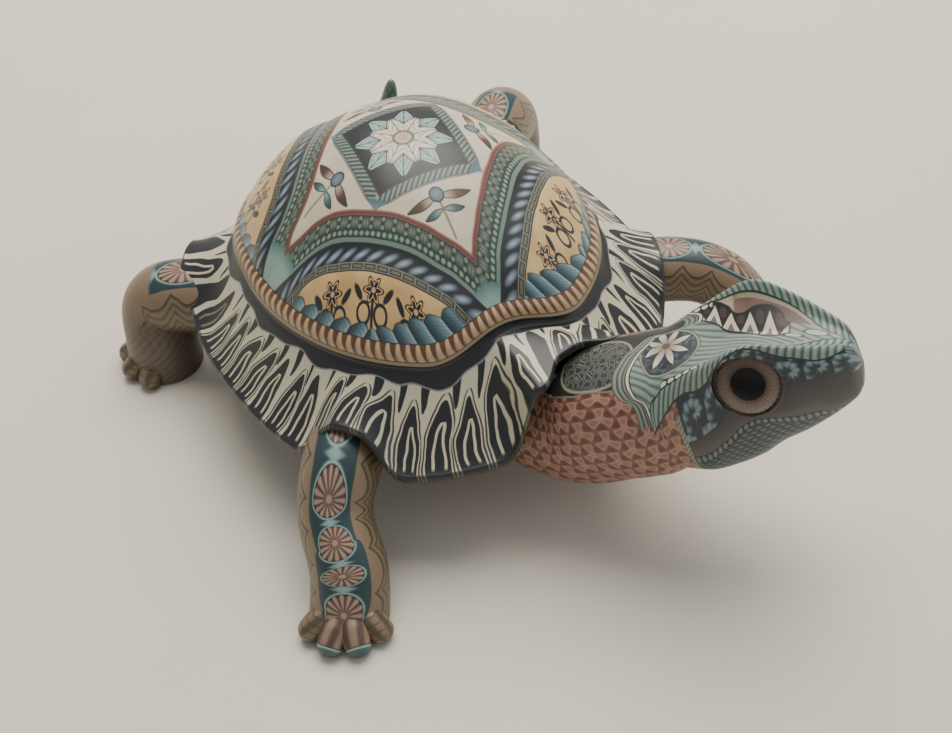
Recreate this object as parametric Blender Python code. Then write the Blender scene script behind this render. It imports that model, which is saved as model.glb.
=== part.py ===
"""A hand-built polymer clay turtle that stands on four splayed feet.

The clay is one closed solid: a domed shell with four swelling lobes and a thin
flared skirt, a belly, four legs with four toes each, a thick neck that carries a
raised head turned to the turtle's left, and a small tail curled to the left.
Two glass cabochon eyes sit in round sockets in the head.

+X is forward, +Y is the turtle's left, +Z is up, and the soles are at Z = 0.
Run it with: blender --background --python part.py
"""
import math

import bmesh
import bpy
from mathutils import Matrix, Vector

# Driving dimensions, in metres
MM = 0.001
GAP = 0.3 * MM

SHELL_BACK = 1.3 * MM
DOME_HALF_LENGTH = 44.8 * MM
DOME_HALF_WIDTH = 39.9 * MM
DOME_CORNER = 1.3 * MM
DOME_TOP = 65.6 * MM
DOME_RISE = 34.0 * MM
LOBE_SWELL = 1.2 * MM
SEAM_STEP = 0.7 * MM

SKIRT_HALF_LENGTH = 52.8 * MM
SKIRT_HALF_WIDTH = 47.8 * MM
SKIRT_CORNER = 2.6 * MM
SKIRT_HEIGHT = 21.5 * MM
SKIRT_PITCH = 1.5 * MM
SKIRT_THICKNESS = 2.2 * MM
BELLY_HEIGHT = 11.0 * MM

NECK_RADIUS = 13.8 * MM
HEAD_UNIT = 1.0 * MM
HEAD_TURN = math.radians(43.0)
HEAD_LIFT = math.radians(18.0)

EYE_DIAMETER = 12.0 * MM
EYE_DOME = 3.4 * MM
EYE_GIRDLE = 1.4 * MM
EYE_FORWARD = 1.5 * MM
EYE_OUT = 9.2 * MM
EYE_UP = 8.5 * MM
EYE_TILT = math.radians(25.0)
EYELID = 0.6 * MM

LEG_RADIUS = 7.7 * MM
TOE_RADIUS = 2.7 * MM
TOE_SPREAD = math.radians(38.0)
TAIL_RADIUS = 5.4 * MM

# Shares that shape the shell, as parts of its own size
DOME_FULLNESS = 2.1
SEAM_SHARE = 0.905
STAR_SHARE = 0.78
STAR_STRETCH = 0.92
STAR_TWIST = math.radians(-6.0)

# Where the seam runs in towards the crown, or out when below 0: angle, half width, share
SEAM_NOTCHES = ((-3.0, 27.0, 0.080), (177.0, 27.0, 0.050), (-45.0, 65.0, 0.035), (-142.0, 34.0, -0.045))

# Arches of the skirt over what comes out below it: angle, half width, squareness of
# the shoulders, rise, pull in
SKIRT_ARCHES = (
    (5.0, 22.0, 2.0, 17.0 * MM, 0.0),
    (5.5, 13.0, 1.0, 0.0, 4.8 * MM),
    (-50.0, 16.0, 1.0, 8.8 * MM, 3.5 * MM),
    (57.0, 20.0, 1.0, 8.0 * MM, 0.0),
    (-135.0, 20.0, 1.0, 5.5 * MM, -2.0 * MM),
    (128.0, 20.0, 1.0, 8.0 * MM, -1.0 * MM),
    (163.0, 14.0, 1.0, 3.0 * MM, 0.0),
    (-162.0, 30.0, 1.0, -3.0 * MM, 3.0 * MM),
)

# Limbs as shares of the skirt's half length, half width and height: each path runs
# from inside the body to the tip or sole
RIGHT_FORELEG = (
    (0.322, -0.544, 0.977), (0.530, -0.795, 1.0), (0.644, -0.931, 0.698), (0.811, -0.996, 0.372),
    (0.894, -1.073, 0))
LEFT_FORELEG = (
    (0.322, 0.544, 1.023), (0.511, 0.941, 1.079), (0.653, 1.130, 0.940), (0.758, 1.213, 0.488),
    (0.795, 1.255, 0))
RIGHT_HINDLEG = (
    (-0.455, -0.586, 0.837), (-0.682, -0.858, 0.847), (-0.777, -0.973, 0.698), (-0.744, -1.021, 0.372),
    (-0.739, -1.036, 0))
LEFT_HINDLEG = (
    (-0.455, 0.586, 0.977), (-0.701, 0.910, 0.977), (-0.814, 1.046, 0.791), (-0.814, 1.056, 0.372),
    (-0.795, 1.036, 0))
FORELEG_GIRTHS = (1.05, 1.05, 0.98, 1.02, 1.05)
REACHING_GIRTHS = (1.0, 0.92, 0.86, 0.92, 1.0)
HINDLEG_GIRTHS = (1.15, 1.1, 1.08, 1.08, 1.1)

# Leg, path, girths, and the way that its foot points in degrees
LEGS = (
    ("right_foreleg", RIGHT_FORELEG, FORELEG_GIRTHS, -37.0),
    ("left_foreleg", LEFT_FORELEG, REACHING_GIRTHS, 47.0),
    ("right_hindleg", RIGHT_HINDLEG, HINDLEG_GIRTHS, -108.0),
    ("left_hindleg", LEFT_HINDLEG, HINDLEG_GIRTHS, 140.0),
)
TOE_REACH = 11.3 * MM

TAIL_PATH = (
    (-0.682, 0.042, 0.930), (-0.909, 0.209, 0.837), (-1.070, 0.418, 0.814), (-1.155, 0.575, 0.977),
    (-1.163, 0.628, 1.340))
TAIL_GIRTHS = (1.2, 1.05, 0.9, 0.7, 0.3)
TAIL_SIDE = Vector((0.7, 0.7, 0.0))

# The neck's middle line up to the back of the head, in the limbs' shares
NECK_PATH = ((0.227, -0.251, 1.256), (0.549, -0.052, 1.093), (0.867, 0.113, 1.023), (1.066, 0.236, 1.349))
NECK_SAG = 1.1
NECK_ANGLES = (0, 24, 44, 68, 95, 125, 152, 180)
HEAD_PLACE = (1.402, 0.586, 1.930)

# Head sections in head units: distance along the head, then the half outline
# from the crown over the brow, temple, cheek, lip and jaw to the throat
HEAD_SECTIONS = (
    (-16, ((0, 10.6), (5.4, 9.5), (9.2, 7.0), (12.2, 2.7), (13.3, -3.8), (11.4, -10.6), (6.6, -15.4), (0, -17.2))),
    (-10, ((0, 11.0), (5.8, 11.1), (9.1, 10.9), (11.8, 5.8), (13.1, -2.4), (12.6, -9.6), (8.4, -14.8), (0, -16.6))),
    (-5, ((0, 11.4), (6.0, 12.9), (9.3, 13.6), (10.8, 8.4), (12.5, 0.4), (12.7, -5.6), (9.0, -13.2), (0, -15.0))),
    (0, ((0, 12.0), (6.1, 14.8), (9.0, 16.4), (9.9, 11.0), (11.5, 3.0), (12.0, -1.9), (9.0, -10.9), (0, -12.8))),
    (4, ((0, 12.0), (5.6, 14.9), (8.4, 17.1), (9.4, 12.0), (10.8, 3.8), (11.0, -0.8), (8.0, -8.9), (0, -10.8))),
    (9, ((0, 11.3), (4.6, 12.9), (7.0, 14.7), (8.4, 11.0), (9.4, 4.2), (9.1, -2.6), (6.8, -7.4), (0, -9.1))),
    (14, ((0, 9.9), (2.9, 10.5), (4.9, 11.8), (6.4, 9.2), (6.9, 3.5), (6.3, -3.3), (4.6, -6.0), (0, -7.1))),
    (18, ((0, 8.4), (1.5, 8.5), (2.7, 9.2), (3.9, 7.6), (4.3, 3.0), (3.8, -2.8), (2.7, -4.1), (0, -4.7))),
    (19.4, ((0, 6.6), (0.8, 6.6), (1.4, 6.9), (2.1, 5.6), (2.4, 2.0), (2.0, -1.9), (1.4, -2.6), (0, -3.0))),
)
NOSE_TIP = (20.2, 2.1)

BACK = Vector((SHELL_BACK, 0.0, 0.0))

# Mesh fineness
SHELL_SEGMENTS = 80
DOME_RINGS = 11
SKIRT_RINGS = 4
HEAD_SEGMENTS = 28
LEG_SEGMENTS = 16
LEG_RINGS = 9
TOE_SEGMENTS = 8
EYE_SEGMENTS = 28


def bump(angle, centre, half_width):
    """A smooth hill of height 1 at its centre that ends at its half width (degrees)."""
    away = abs((math.degrees(angle) - centre + 180.0) % 360.0 - 180.0)
    if away >= half_width:
        return 0.0
    return math.cos(0.5 * math.pi * away / half_width) ** 2


def ease(share):
    """Run smoothly from 0 to 1."""
    share = min(1.0, max(0.0, share))
    return share * share * (3.0 - 2.0 * share)


def oval(angle, half_length, half_width):
    """Radius of an ellipse at an angle."""
    return 1.0 / math.hypot(math.cos(angle) / half_length, math.sin(angle) / half_width)


def along(points, share):
    """A point of the smooth curve through the given points, at a share of its length."""
    last = len(points) - 1
    place = min(share * last, last - 1e-9)
    i = int(place)
    t = place - i
    before = points[max(i - 1, 0)]
    after = points[min(i + 2, last)]
    here, there = points[i], points[i + 1]
    return tuple(
        0.5 * (2 * b + (c - a) * t + (2 * a - 5 * b + 4 * c - d) * t * t + (3 * b - a - 3 * c + d) * t ** 3)
        for a, b, c, d in zip(before, here, there, after)
    )


def on_body(shares):
    """A point from its shares of the skirt's half length, half width and height."""
    return Vector((shares[0] * SKIRT_HALF_LENGTH, shares[1] * SKIRT_HALF_WIDTH, shares[2] * SKIRT_HEIGHT))


def material(name, colour, roughness, transmission=0.0):
    """A plain Principled finish."""
    finish = bpy.data.materials.new(name)
    finish.use_nodes = True
    shader = finish.node_tree.nodes["Principled BSDF"]
    shader.inputs["Base Color"].default_value = (*colour, 1.0)
    shader.inputs["Roughness"].default_value = roughness
    shader.inputs["Transmission Weight"].default_value = transmission
    finish.diffuse_color = (*colour, 1.0)
    return finish


def modelled_ball(name, group, finish, around, rings, place):
    """A ball whose every ring and turn is moved to place(turn, ring)."""
    form = bmesh.new()
    bmesh.ops.create_uvsphere(form, u_segments=around, v_segments=rings, radius=1.0)
    for point in form.verts:
        ring = round(math.acos(max(-1.0, min(1.0, point.co.z))) / math.pi * rings)
        turn = math.atan2(point.co.y, point.co.x) if 0 < ring < rings else 0.0
        point.co = place(turn, ring)
    bmesh.ops.recalc_face_normals(form, faces=form.faces)
    mesh = bpy.data.meshes.new(name)
    form.to_mesh(mesh)
    form.free()
    mesh.shade_smooth()
    mesh.materials.append(finish)
    piece = bpy.data.objects.new(name, mesh)
    group.objects.link(piece)
    return piece


def skirt_rim(angle):
    """Reach and height of the skirt's outer edge."""
    reach = oval(angle, SKIRT_HALF_LENGTH, SKIRT_HALF_WIDTH)
    reach += SKIRT_CORNER * 0.5 * (1.0 - math.cos(4.0 * angle))
    height = SKIRT_HEIGHT + SKIRT_PITCH * math.cos(angle)
    for centre, half_width, shoulders, rise, pull in SKIRT_ARCHES:
        hill = ease(shoulders * bump(angle, centre, half_width))
        reach -= pull * hill
        height += rise * hill
    return reach, height


def seam_share(angle):
    """How far out on the dome the seam with the skirt lies, as a share of the dome."""
    return SEAM_SHARE - sum(cut * bump(angle, centre, width) for centre, width, cut in SEAM_NOTCHES)


def dome_reach(angle):
    """Full reach of the dome's form, a little squared towards the lobes."""
    return oval(angle, DOME_HALF_LENGTH, DOME_HALF_WIDTH) + DOME_CORNER * 0.5 * (1.0 - math.cos(4.0 * angle))


def dome_point(angle, share):
    """A point of the dome, with the four lobes swelling outside the star."""
    reach = share * dome_reach(angle)
    point = Vector((reach * math.cos(angle), reach * math.sin(angle), DOME_TOP - DOME_RISE * share ** DOME_FULLNESS))
    turned = Matrix.Rotation(-STAR_TWIST, 2) @ Vector((
        point.x / (DOME_HALF_LENGTH * STAR_STRETCH), point.y / DOME_HALF_WIDTH))
    past_star = abs(turned.x) + abs(turned.y) - STAR_SHARE
    swell = LOBE_SWELL * ease(past_star / 0.2) * ease((seam_share(angle) - share) / 0.16)
    outward = Vector((point.x, point.y, point.z - DOME_TOP + DOME_RISE))
    return point + outward.normalized() * swell


def shell_point(turn, ring):
    """A point of the shell: dome, seam, skirt, rim and belly, from the top down."""
    direction = Vector((math.cos(turn), math.sin(turn)))
    share = seam_share(turn)
    rim_reach, rim_height = skirt_rim(turn)
    if ring <= DOME_RINGS:
        return dome_point(turn, share * ring / DOME_RINGS) - BACK
    edge = dome_point(turn, share)
    seam_reach, seam_height = edge.xy.length, edge.z
    start = (seam_reach + 0.6 * SEAM_STEP, seam_height - 3.0 * SEAM_STEP)
    lip = 0.5 * SKIRT_THICKNESS
    step = ring - DOME_RINGS
    if step == 1:
        reach, height = seam_reach - 0.7 * SEAM_STEP, seam_height - 2.2 * SEAM_STEP
    elif step <= SKIRT_RINGS + 1:
        t = (step - 2) / (SKIRT_RINGS - 1)
        reach = start[0] + (rim_reach - 0.4 * lip - start[0]) * t
        height = start[1] + (rim_height + lip - start[1]) * (1.0 - (1.0 - t) ** 1.25)
    else:
        belly = (
            (rim_reach, rim_height),
            (rim_reach - 0.5 * lip, rim_height - lip),
            (0.93 * rim_reach, rim_height - lip),
            (0.82 * rim_reach, SKIRT_HEIGHT - SKIRT_THICKNESS),
            (0.74 * rim_reach, 0.5 * (SKIRT_HEIGHT + BELLY_HEIGHT)),
            (0.64 * rim_reach, BELLY_HEIGHT + 0.5 * SKIRT_THICKNESS),
            (0.35 * rim_reach, BELLY_HEIGHT),
            (0.0, BELLY_HEIGHT),
        )
        reach, height = belly[step - SKIRT_RINGS - 2]
    return Vector((reach * direction.x, reach * direction.y, height)) - BACK


def make_shell(group, finish):
    """Dome, skirt and belly as one turned and pulled form."""
    rings = DOME_RINGS + SKIRT_RINGS + 9
    return modelled_ball("clay_turtle", group, finish, SHELL_SEGMENTS, rings, shell_point)


def tube(name, group, finish, path, girths, radius, side, rings, around):
    """A round limb along a smooth path, with its sections square to the path."""
    def place(turn, ring):
        share = ring / rings
        middle = Vector(along(path, share))
        ahead = Vector(along(path, min(1.0, share + 0.02))) - Vector(along(path, max(0.0, share - 0.02)))
        rise = side.cross(ahead).normalized()
        across = ahead.cross(rise).normalized()
        girth = radius * along([(g,) for g in girths], share)[0]
        if ring in (0, rings):
            girth = 0.0
        return middle + across * (girth * math.cos(turn)) + rise * (girth * math.sin(turn))
    return modelled_ball(name, group, finish, around, rings, place)


def make_leg(name, group, finish, path, girths, heading):
    """A leg from inside the body to below the floor, where the sole is cut, with four toes."""
    bearing = math.radians(heading)
    side = Vector((-math.sin(bearing), math.cos(bearing), 0.0))
    points = [on_body(shares) for shares in path]
    foot = points[-1]
    deep = points + [foot + (foot - points[-2]).normalized() * (0.9 * LEG_RADIUS)]
    tube(name, group, finish, deep, girths + girths[-1:], LEG_RADIUS, side, LEG_RINGS, LEG_SEGMENTS)
    for number in range(4):
        way = bearing + (number - 1.5) * TOE_SPREAD
        make_toe(f"{name}_toe_{number + 1}", group, finish, foot, way)


def make_toe(name, group, finish, foot, way):
    """A tapered toe that slopes from the ankle down to its rounded tip."""
    out = Vector((math.cos(way), math.sin(way), 0.0))
    side = Vector((-out.y, out.x, 0.0))
    root = foot + out * (0.35 * TOE_REACH) + Vector((0.0, 0.0, 1.7 * TOE_RADIUS))
    tip = foot + out * (TOE_REACH - 0.5 * TOE_RADIUS) + Vector((0.0, 0.0, 0.45 * TOE_RADIUS))
    sizes = (0.0, 0.95, 1.1, 1.05, 0.9, 0.65, 0.0)
    places = (-0.1, 0.0, 0.3, 0.6, 0.85, 1.0, 1.08)

    def place(turn, ring):
        middle = root + (tip - root) * places[ring]
        girth = TOE_RADIUS * sizes[ring]
        rise = side.cross(tip - root).normalized()
        return middle + side * (girth * math.cos(turn)) + rise * (girth * math.sin(turn))
    return modelled_ball(name, group, finish, TOE_SEGMENTS, len(places) - 1, place)


def head_axes():
    """The head's own forward, left and up."""
    forward = Vector((
        math.cos(HEAD_LIFT) * math.cos(HEAD_TURN), math.cos(HEAD_LIFT) * math.sin(HEAD_TURN), math.sin(HEAD_LIFT)))
    left = Vector((-math.sin(HEAD_TURN), math.cos(HEAD_TURN), 0.0))
    return forward, left, forward.cross(left)


def head_stations():
    """Middle, left, up and half outline of every section, from inside the shell to the nose."""
    forward, left, up = head_axes()
    ring = tuple(
        (NECK_RADIUS * math.sin(math.radians(a)), NECK_RADIUS * math.cos(math.radians(a))) for a in NECK_ANGLES)
    ring = tuple((out, height if height > 0 else height * NECK_SAG) for out, height in ring)
    back = HEAD_SECTIONS[0]
    sunk = 0.5 * (back[1][0][1] + back[1][-1][1])
    stations = []
    head = on_body(HEAD_PLACE)
    path = [on_body(shares) for shares in NECK_PATH] + [head + (forward * back[0] + up * sunk) * HEAD_UNIT]
    steps = len(NECK_PATH) * 2
    for i in range(steps):
        share = i / steps
        ahead = Vector(along(path, share + 0.02)) - Vector(along(path, max(0.0, share - 0.02)))
        side = Vector((-ahead.y, ahead.x, 0.0)).normalized().lerp(left, share).normalized()
        stations.append((Vector(along(path, share)), side, ahead.cross(side).normalized(), ring))
    rows = [row[1] for row in HEAD_SECTIONS]
    for i in range(2 * len(rows) - 1):
        share = i / (2 * len(rows) - 2)
        distance = along([(row[0],) for row in HEAD_SECTIONS], share)[0]
        outline = tuple(
            tuple(HEAD_UNIT * size for size in along([row[k] for row in rows], share))
            for k in range(len(NECK_ANGLES)))
        stations.append((head + forward * (distance * HEAD_UNIT), left, up, outline))
    return stations


def make_head(group, finish):
    """Neck and head as one form: concave crown, raised brows, cheeks and a pointed beak."""
    stations = head_stations()
    forward, _, up = head_axes()
    nose = on_body(HEAD_PLACE) + (forward * NOSE_TIP[0] + up * NOSE_TIP[1]) * HEAD_UNIT

    def place(turn, ring):
        if ring == 0:
            return stations[0][0] - forward * (0.5 * NECK_RADIUS)
        if ring > len(stations):
            return nose
        middle, left, up_here, outline = stations[ring - 1]
        share = abs(turn) / math.pi
        out, height = along(outline, share)
        return middle + left * math.copysign(out, turn) + up_here * height
    return modelled_ball("neck_and_head", group, finish, HEAD_SEGMENTS, len(stations) + 1, place)


def eye_frame(side):
    """Place and turn of an eye, with its own +Z looking out; side is 1 for the left eye."""
    forward, left, up = head_axes()
    middle = on_body(HEAD_PLACE) + forward * EYE_FORWARD + left * (side * EYE_OUT) + up * EYE_UP
    look = (left * (side * math.cos(EYE_TILT)) + up * math.sin(EYE_TILT)).normalized()
    frame = Matrix((forward, look.cross(forward), look)).transposed().to_4x4()
    return Matrix.Translation(middle) @ frame


def turned(name, group, finish, profile, around, frame):
    """A turned solid from a profile of radius and height pairs, from top to bottom."""
    form = bmesh.new()
    edge = [form.verts.new((radius, 0.0, height)) for radius, height in profile]
    for upper, lower in zip(edge, edge[1:]):
        form.edges.new((upper, lower))
    bmesh.ops.spin(
        form, geom=form.verts[:] + form.edges[:], axis=(0, 0, 1), cent=(0, 0, 0), dvec=(0, 0, 0),
        angle=math.tau, steps=around, use_merge=True, use_duplicate=False)
    bmesh.ops.remove_doubles(form, verts=form.verts, dist=1e-6)
    bmesh.ops.recalc_face_normals(form, faces=form.faces)
    bmesh.ops.transform(form, matrix=frame, verts=form.verts)
    mesh = bpy.data.meshes.new(name)
    form.to_mesh(mesh)
    form.free()
    mesh.shade_smooth()
    mesh.set_sharp_from_angle(angle=math.radians(50))
    mesh.materials.append(finish)
    piece = bpy.data.objects.new(name, mesh)
    group.objects.link(piece)
    return piece


def make_eye(name, side, group, finish):
    """A glass cabochon: a dome on a short girdle with a flat back."""
    radius = 0.5 * EYE_DIAMETER
    ball = (radius ** 2 + EYE_DOME ** 2) / (2.0 * EYE_DOME)
    sweep = math.asin(radius / ball)
    dome = [(ball * math.sin(sweep * i / 7), EYE_DOME - ball + ball * math.cos(sweep * i / 7)) for i in range(8)]
    profile = dome + [(radius, -EYE_GIRDLE), (0.0, -EYE_GIRDLE)]
    return turned(name, group, finish, profile, EYE_SEGMENTS, eye_frame(side))


def make_eyelid(name, side, group, finish):
    """A clay ring round the eye."""
    middle = 0.5 * EYE_DIAMETER + GAP + 0.6 * EYELID
    profile = [
        (middle + EYELID * math.cos(math.tau * i / 8), 0.9 * EYELID - EYELID * math.sin(math.tau * i / 8))
        for i in range(9)]
    return turned(name, group, finish, profile, EYE_SEGMENTS, eye_frame(side))


def make_socket(name, side, group, finish):
    """The cutter for an eye's round socket, clear of the eye by the gap."""
    radius = 0.5 * EYE_DIAMETER + GAP
    profile = [(0.0, 2.5 * EYE_DOME), (radius, 2.5 * EYE_DOME), (radius, -EYE_GIRDLE - GAP), (0.0, -EYE_GIRDLE - GAP)]
    return turned(name, group, finish, profile, EYE_SEGMENTS, eye_frame(side))


def make_floor_cutter(group, finish):
    """A block that takes off all below the floor, so that the soles are flat."""
    form = bmesh.new()
    bmesh.ops.create_cube(form, size=1.0)
    depth = 3.0 * LEG_RADIUS
    bmesh.ops.scale(form, vec=(8 * SKIRT_HALF_LENGTH, 8 * SKIRT_HALF_LENGTH, depth), verts=form.verts)
    bmesh.ops.translate(form, vec=(0.0, 0.0, -0.5 * depth), verts=form.verts)
    mesh = bpy.data.meshes.new("floor_cutter")
    form.to_mesh(mesh)
    form.free()
    mesh.materials.append(finish)
    block = bpy.data.objects.new("floor_cutter", mesh)
    group.objects.link(block)


def hide_guides(group):
    """Guides and cutters stay as wires and out of the render."""
    for guide in group.objects:
        guide.hide_render = True
        guide.display_type = "WIRE"


def join_with(piece, name, operation, group):
    """Add a Boolean modifier that takes a whole collection."""
    step = piece.modifiers.new(name, "BOOLEAN")
    step.operation = operation
    step.operand_type = "COLLECTION"
    step.collection = group
    step.solver = "EXACT"


def centre_on_origin(pieces, everything):
    """Hang all on an empty that puts the middle of the part's box over the origin."""
    bpy.context.view_layer.update()
    graph = bpy.context.evaluated_depsgraph_get()
    corners = []
    for piece in pieces:
        mesh = piece.evaluated_get(graph).to_mesh()
        corners += [point.co.xy for point in mesh.vertices]
    low = Vector((min(c.x for c in corners), min(c.y for c in corners)))
    high = Vector((max(c.x for c in corners), max(c.y for c in corners)))
    middle = 0.5 * (low + high)
    stand = bpy.data.objects.new("turtle_stand_point", None)
    bpy.context.scene.collection.objects.link(stand)
    for piece in everything:
        piece.parent = stand
    stand.location = (-middle.x, -middle.y, 0.0)


def main():
    for old in list(bpy.data.objects):
        bpy.data.objects.remove(old, do_unlink=True)
    groups = []
    for name in ("clay_turtle_sculpture", "clay_forms", "clay_cutters"):
        group = bpy.data.collections.new(name)
        bpy.context.scene.collection.children.link(group)
        groups.append(group)
    parts, forms, cutters = groups
    clay = material("patterned_polymer_clay", (0.30, 0.33, 0.30), 0.45)
    glass = material("glass_eye", (0.12, 0.08, 0.06), 0.05, 0.6)

    turtle = make_shell(parts, clay)
    make_head(forms, clay)
    for name, path, girths, heading in LEGS:
        make_leg(name, forms, clay, path, girths, heading)
    tail = [on_body(shares) for shares in TAIL_PATH]
    tube("tail", forms, clay, tail, TAIL_GIRTHS, TAIL_RADIUS, TAIL_SIDE, LEG_RINGS, LEG_SEGMENTS)
    eyes = []
    for name, side in (("right", -1), ("left", 1)):
        make_eyelid(f"{name}_eyelid", side, forms, clay)
        make_socket(f"{name}_socket", side, cutters, clay)
        eyes.append(make_eye(f"{name}_eye", side, parts, glass))
    make_floor_cutter(cutters, clay)
    join_with(turtle, "joined_clay", "UNION", forms)
    join_with(turtle, "sockets_and_soles", "DIFFERENCE", cutters)
    hide_guides(forms)
    hide_guides(cutters)
    pieces = [turtle] + eyes
    centre_on_origin(pieces, pieces + list(forms.objects) + list(cutters.objects))


main()
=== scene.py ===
"""Looks of a hand-built polymer clay turtle: its fine shapes, its inlaid patterns and its studio.

Every clay form is modelled finely in the place of the packed clay solid, and each
pattern is drawn by rule in its material, from the form's own coordinates.
Sizes are in millimetres in the turtle's own frame: +X forward, +Y its left, +Z up.
"""
import logging
import math
from abc import ABC, abstractmethod
from dataclasses import dataclass, field
from enum import Enum
from functools import lru_cache
from typing import Callable, Sequence, Union

import bmesh
import bpy
from mathutils import Matrix, Vector


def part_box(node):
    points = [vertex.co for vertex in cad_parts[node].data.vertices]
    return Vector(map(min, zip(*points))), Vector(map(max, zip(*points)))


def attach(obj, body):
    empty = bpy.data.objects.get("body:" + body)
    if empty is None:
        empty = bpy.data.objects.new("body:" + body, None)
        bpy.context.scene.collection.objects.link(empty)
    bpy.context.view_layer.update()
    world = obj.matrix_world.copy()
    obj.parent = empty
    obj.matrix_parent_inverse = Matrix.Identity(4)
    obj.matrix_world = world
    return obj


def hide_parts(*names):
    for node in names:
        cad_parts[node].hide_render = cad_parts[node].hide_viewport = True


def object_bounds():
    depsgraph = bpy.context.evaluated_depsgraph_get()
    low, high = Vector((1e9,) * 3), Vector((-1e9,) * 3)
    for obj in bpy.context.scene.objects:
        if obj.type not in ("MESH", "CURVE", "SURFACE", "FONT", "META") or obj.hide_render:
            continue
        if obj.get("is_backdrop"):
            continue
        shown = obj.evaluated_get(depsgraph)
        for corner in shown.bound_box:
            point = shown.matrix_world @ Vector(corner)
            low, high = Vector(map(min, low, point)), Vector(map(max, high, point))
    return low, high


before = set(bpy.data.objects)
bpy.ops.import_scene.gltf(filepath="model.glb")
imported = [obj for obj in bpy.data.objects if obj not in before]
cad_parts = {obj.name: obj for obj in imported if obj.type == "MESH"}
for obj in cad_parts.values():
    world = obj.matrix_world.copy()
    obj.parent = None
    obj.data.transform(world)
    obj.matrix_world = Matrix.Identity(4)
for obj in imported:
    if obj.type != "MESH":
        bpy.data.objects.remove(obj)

LOG = logging.getLogger("turtle")
MM = 0.001
CLAY_NODE = "clay_turtle"
BODY = "root"
Colour = Union["Tone", tuple[int, int, int]]
Pair = tuple[float, float]


def as_light(colour: Colour) -> tuple[float, float, float]:
    """Turn a colour into linear light.

    Args:
        colour: a tone, or red, green and blue as a screen shows them, from 0 to 255.

    Returns:
        The same colour, linear.
    """
    def linear(value: int) -> float:
        """Turn one channel into light."""
        share = value / 255.0
        return share / 12.92 if share <= 0.04045 else ((share + 0.055) / 1.055) ** 2.4
    red, green, blue = colour.value if isinstance(colour, Tone) else colour
    return linear(red), linear(green), linear(blue)


def ease(share: float) -> float:
    """Run smoothly from 0 to 1."""
    share = min(1.0, max(0.0, share))
    return share * share * (3.0 - 2.0 * share)


def bump(angle: float, centre: float, half_width: float) -> float:
    """Give a smooth hill of height 1 that ends at its half width.

    Args:
        angle: where to look, in radians.
        centre: the hill's middle, in degrees.
        half_width: how far the hill reaches, in degrees.

    Returns:
        The height of the hill there.
    """
    away = abs((math.degrees(angle) - centre + 180.0) % 360.0 - 180.0)
    if away >= half_width:
        return 0.0
    return math.cos(0.5 * math.pi * away / half_width) ** 2


def oval(angle: float, half_length: float, half_width: float) -> float:
    """Give the radius of an ellipse at an angle."""
    return 1.0 / math.hypot(math.cos(angle) / half_length, math.sin(angle) / half_width)


def along(points: Sequence[Sequence[float]], share: float) -> tuple[float, ...]:
    """Find a point of the smooth curve through some points.

    Args:
        points: what the curve passes through.
        share: how far along it to look, from 0 to 1.

    Returns:
        The curve's point there.
    """
    last = len(points) - 1
    place = min(share * last, last - 1e-9)
    i = int(place)
    t = place - i
    before = points[max(i - 1, 0)]
    after = points[min(i + 2, last)]
    return tuple(
        0.5 * (2 * b + (c - a) * t + (2 * a - 5 * b + 4 * c - d) * t * t + (3 * b - a - 3 * c + d) * t ** 3)
        for a, b, c, d in zip(before, points[i], points[i + 1], after)
    )


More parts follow.
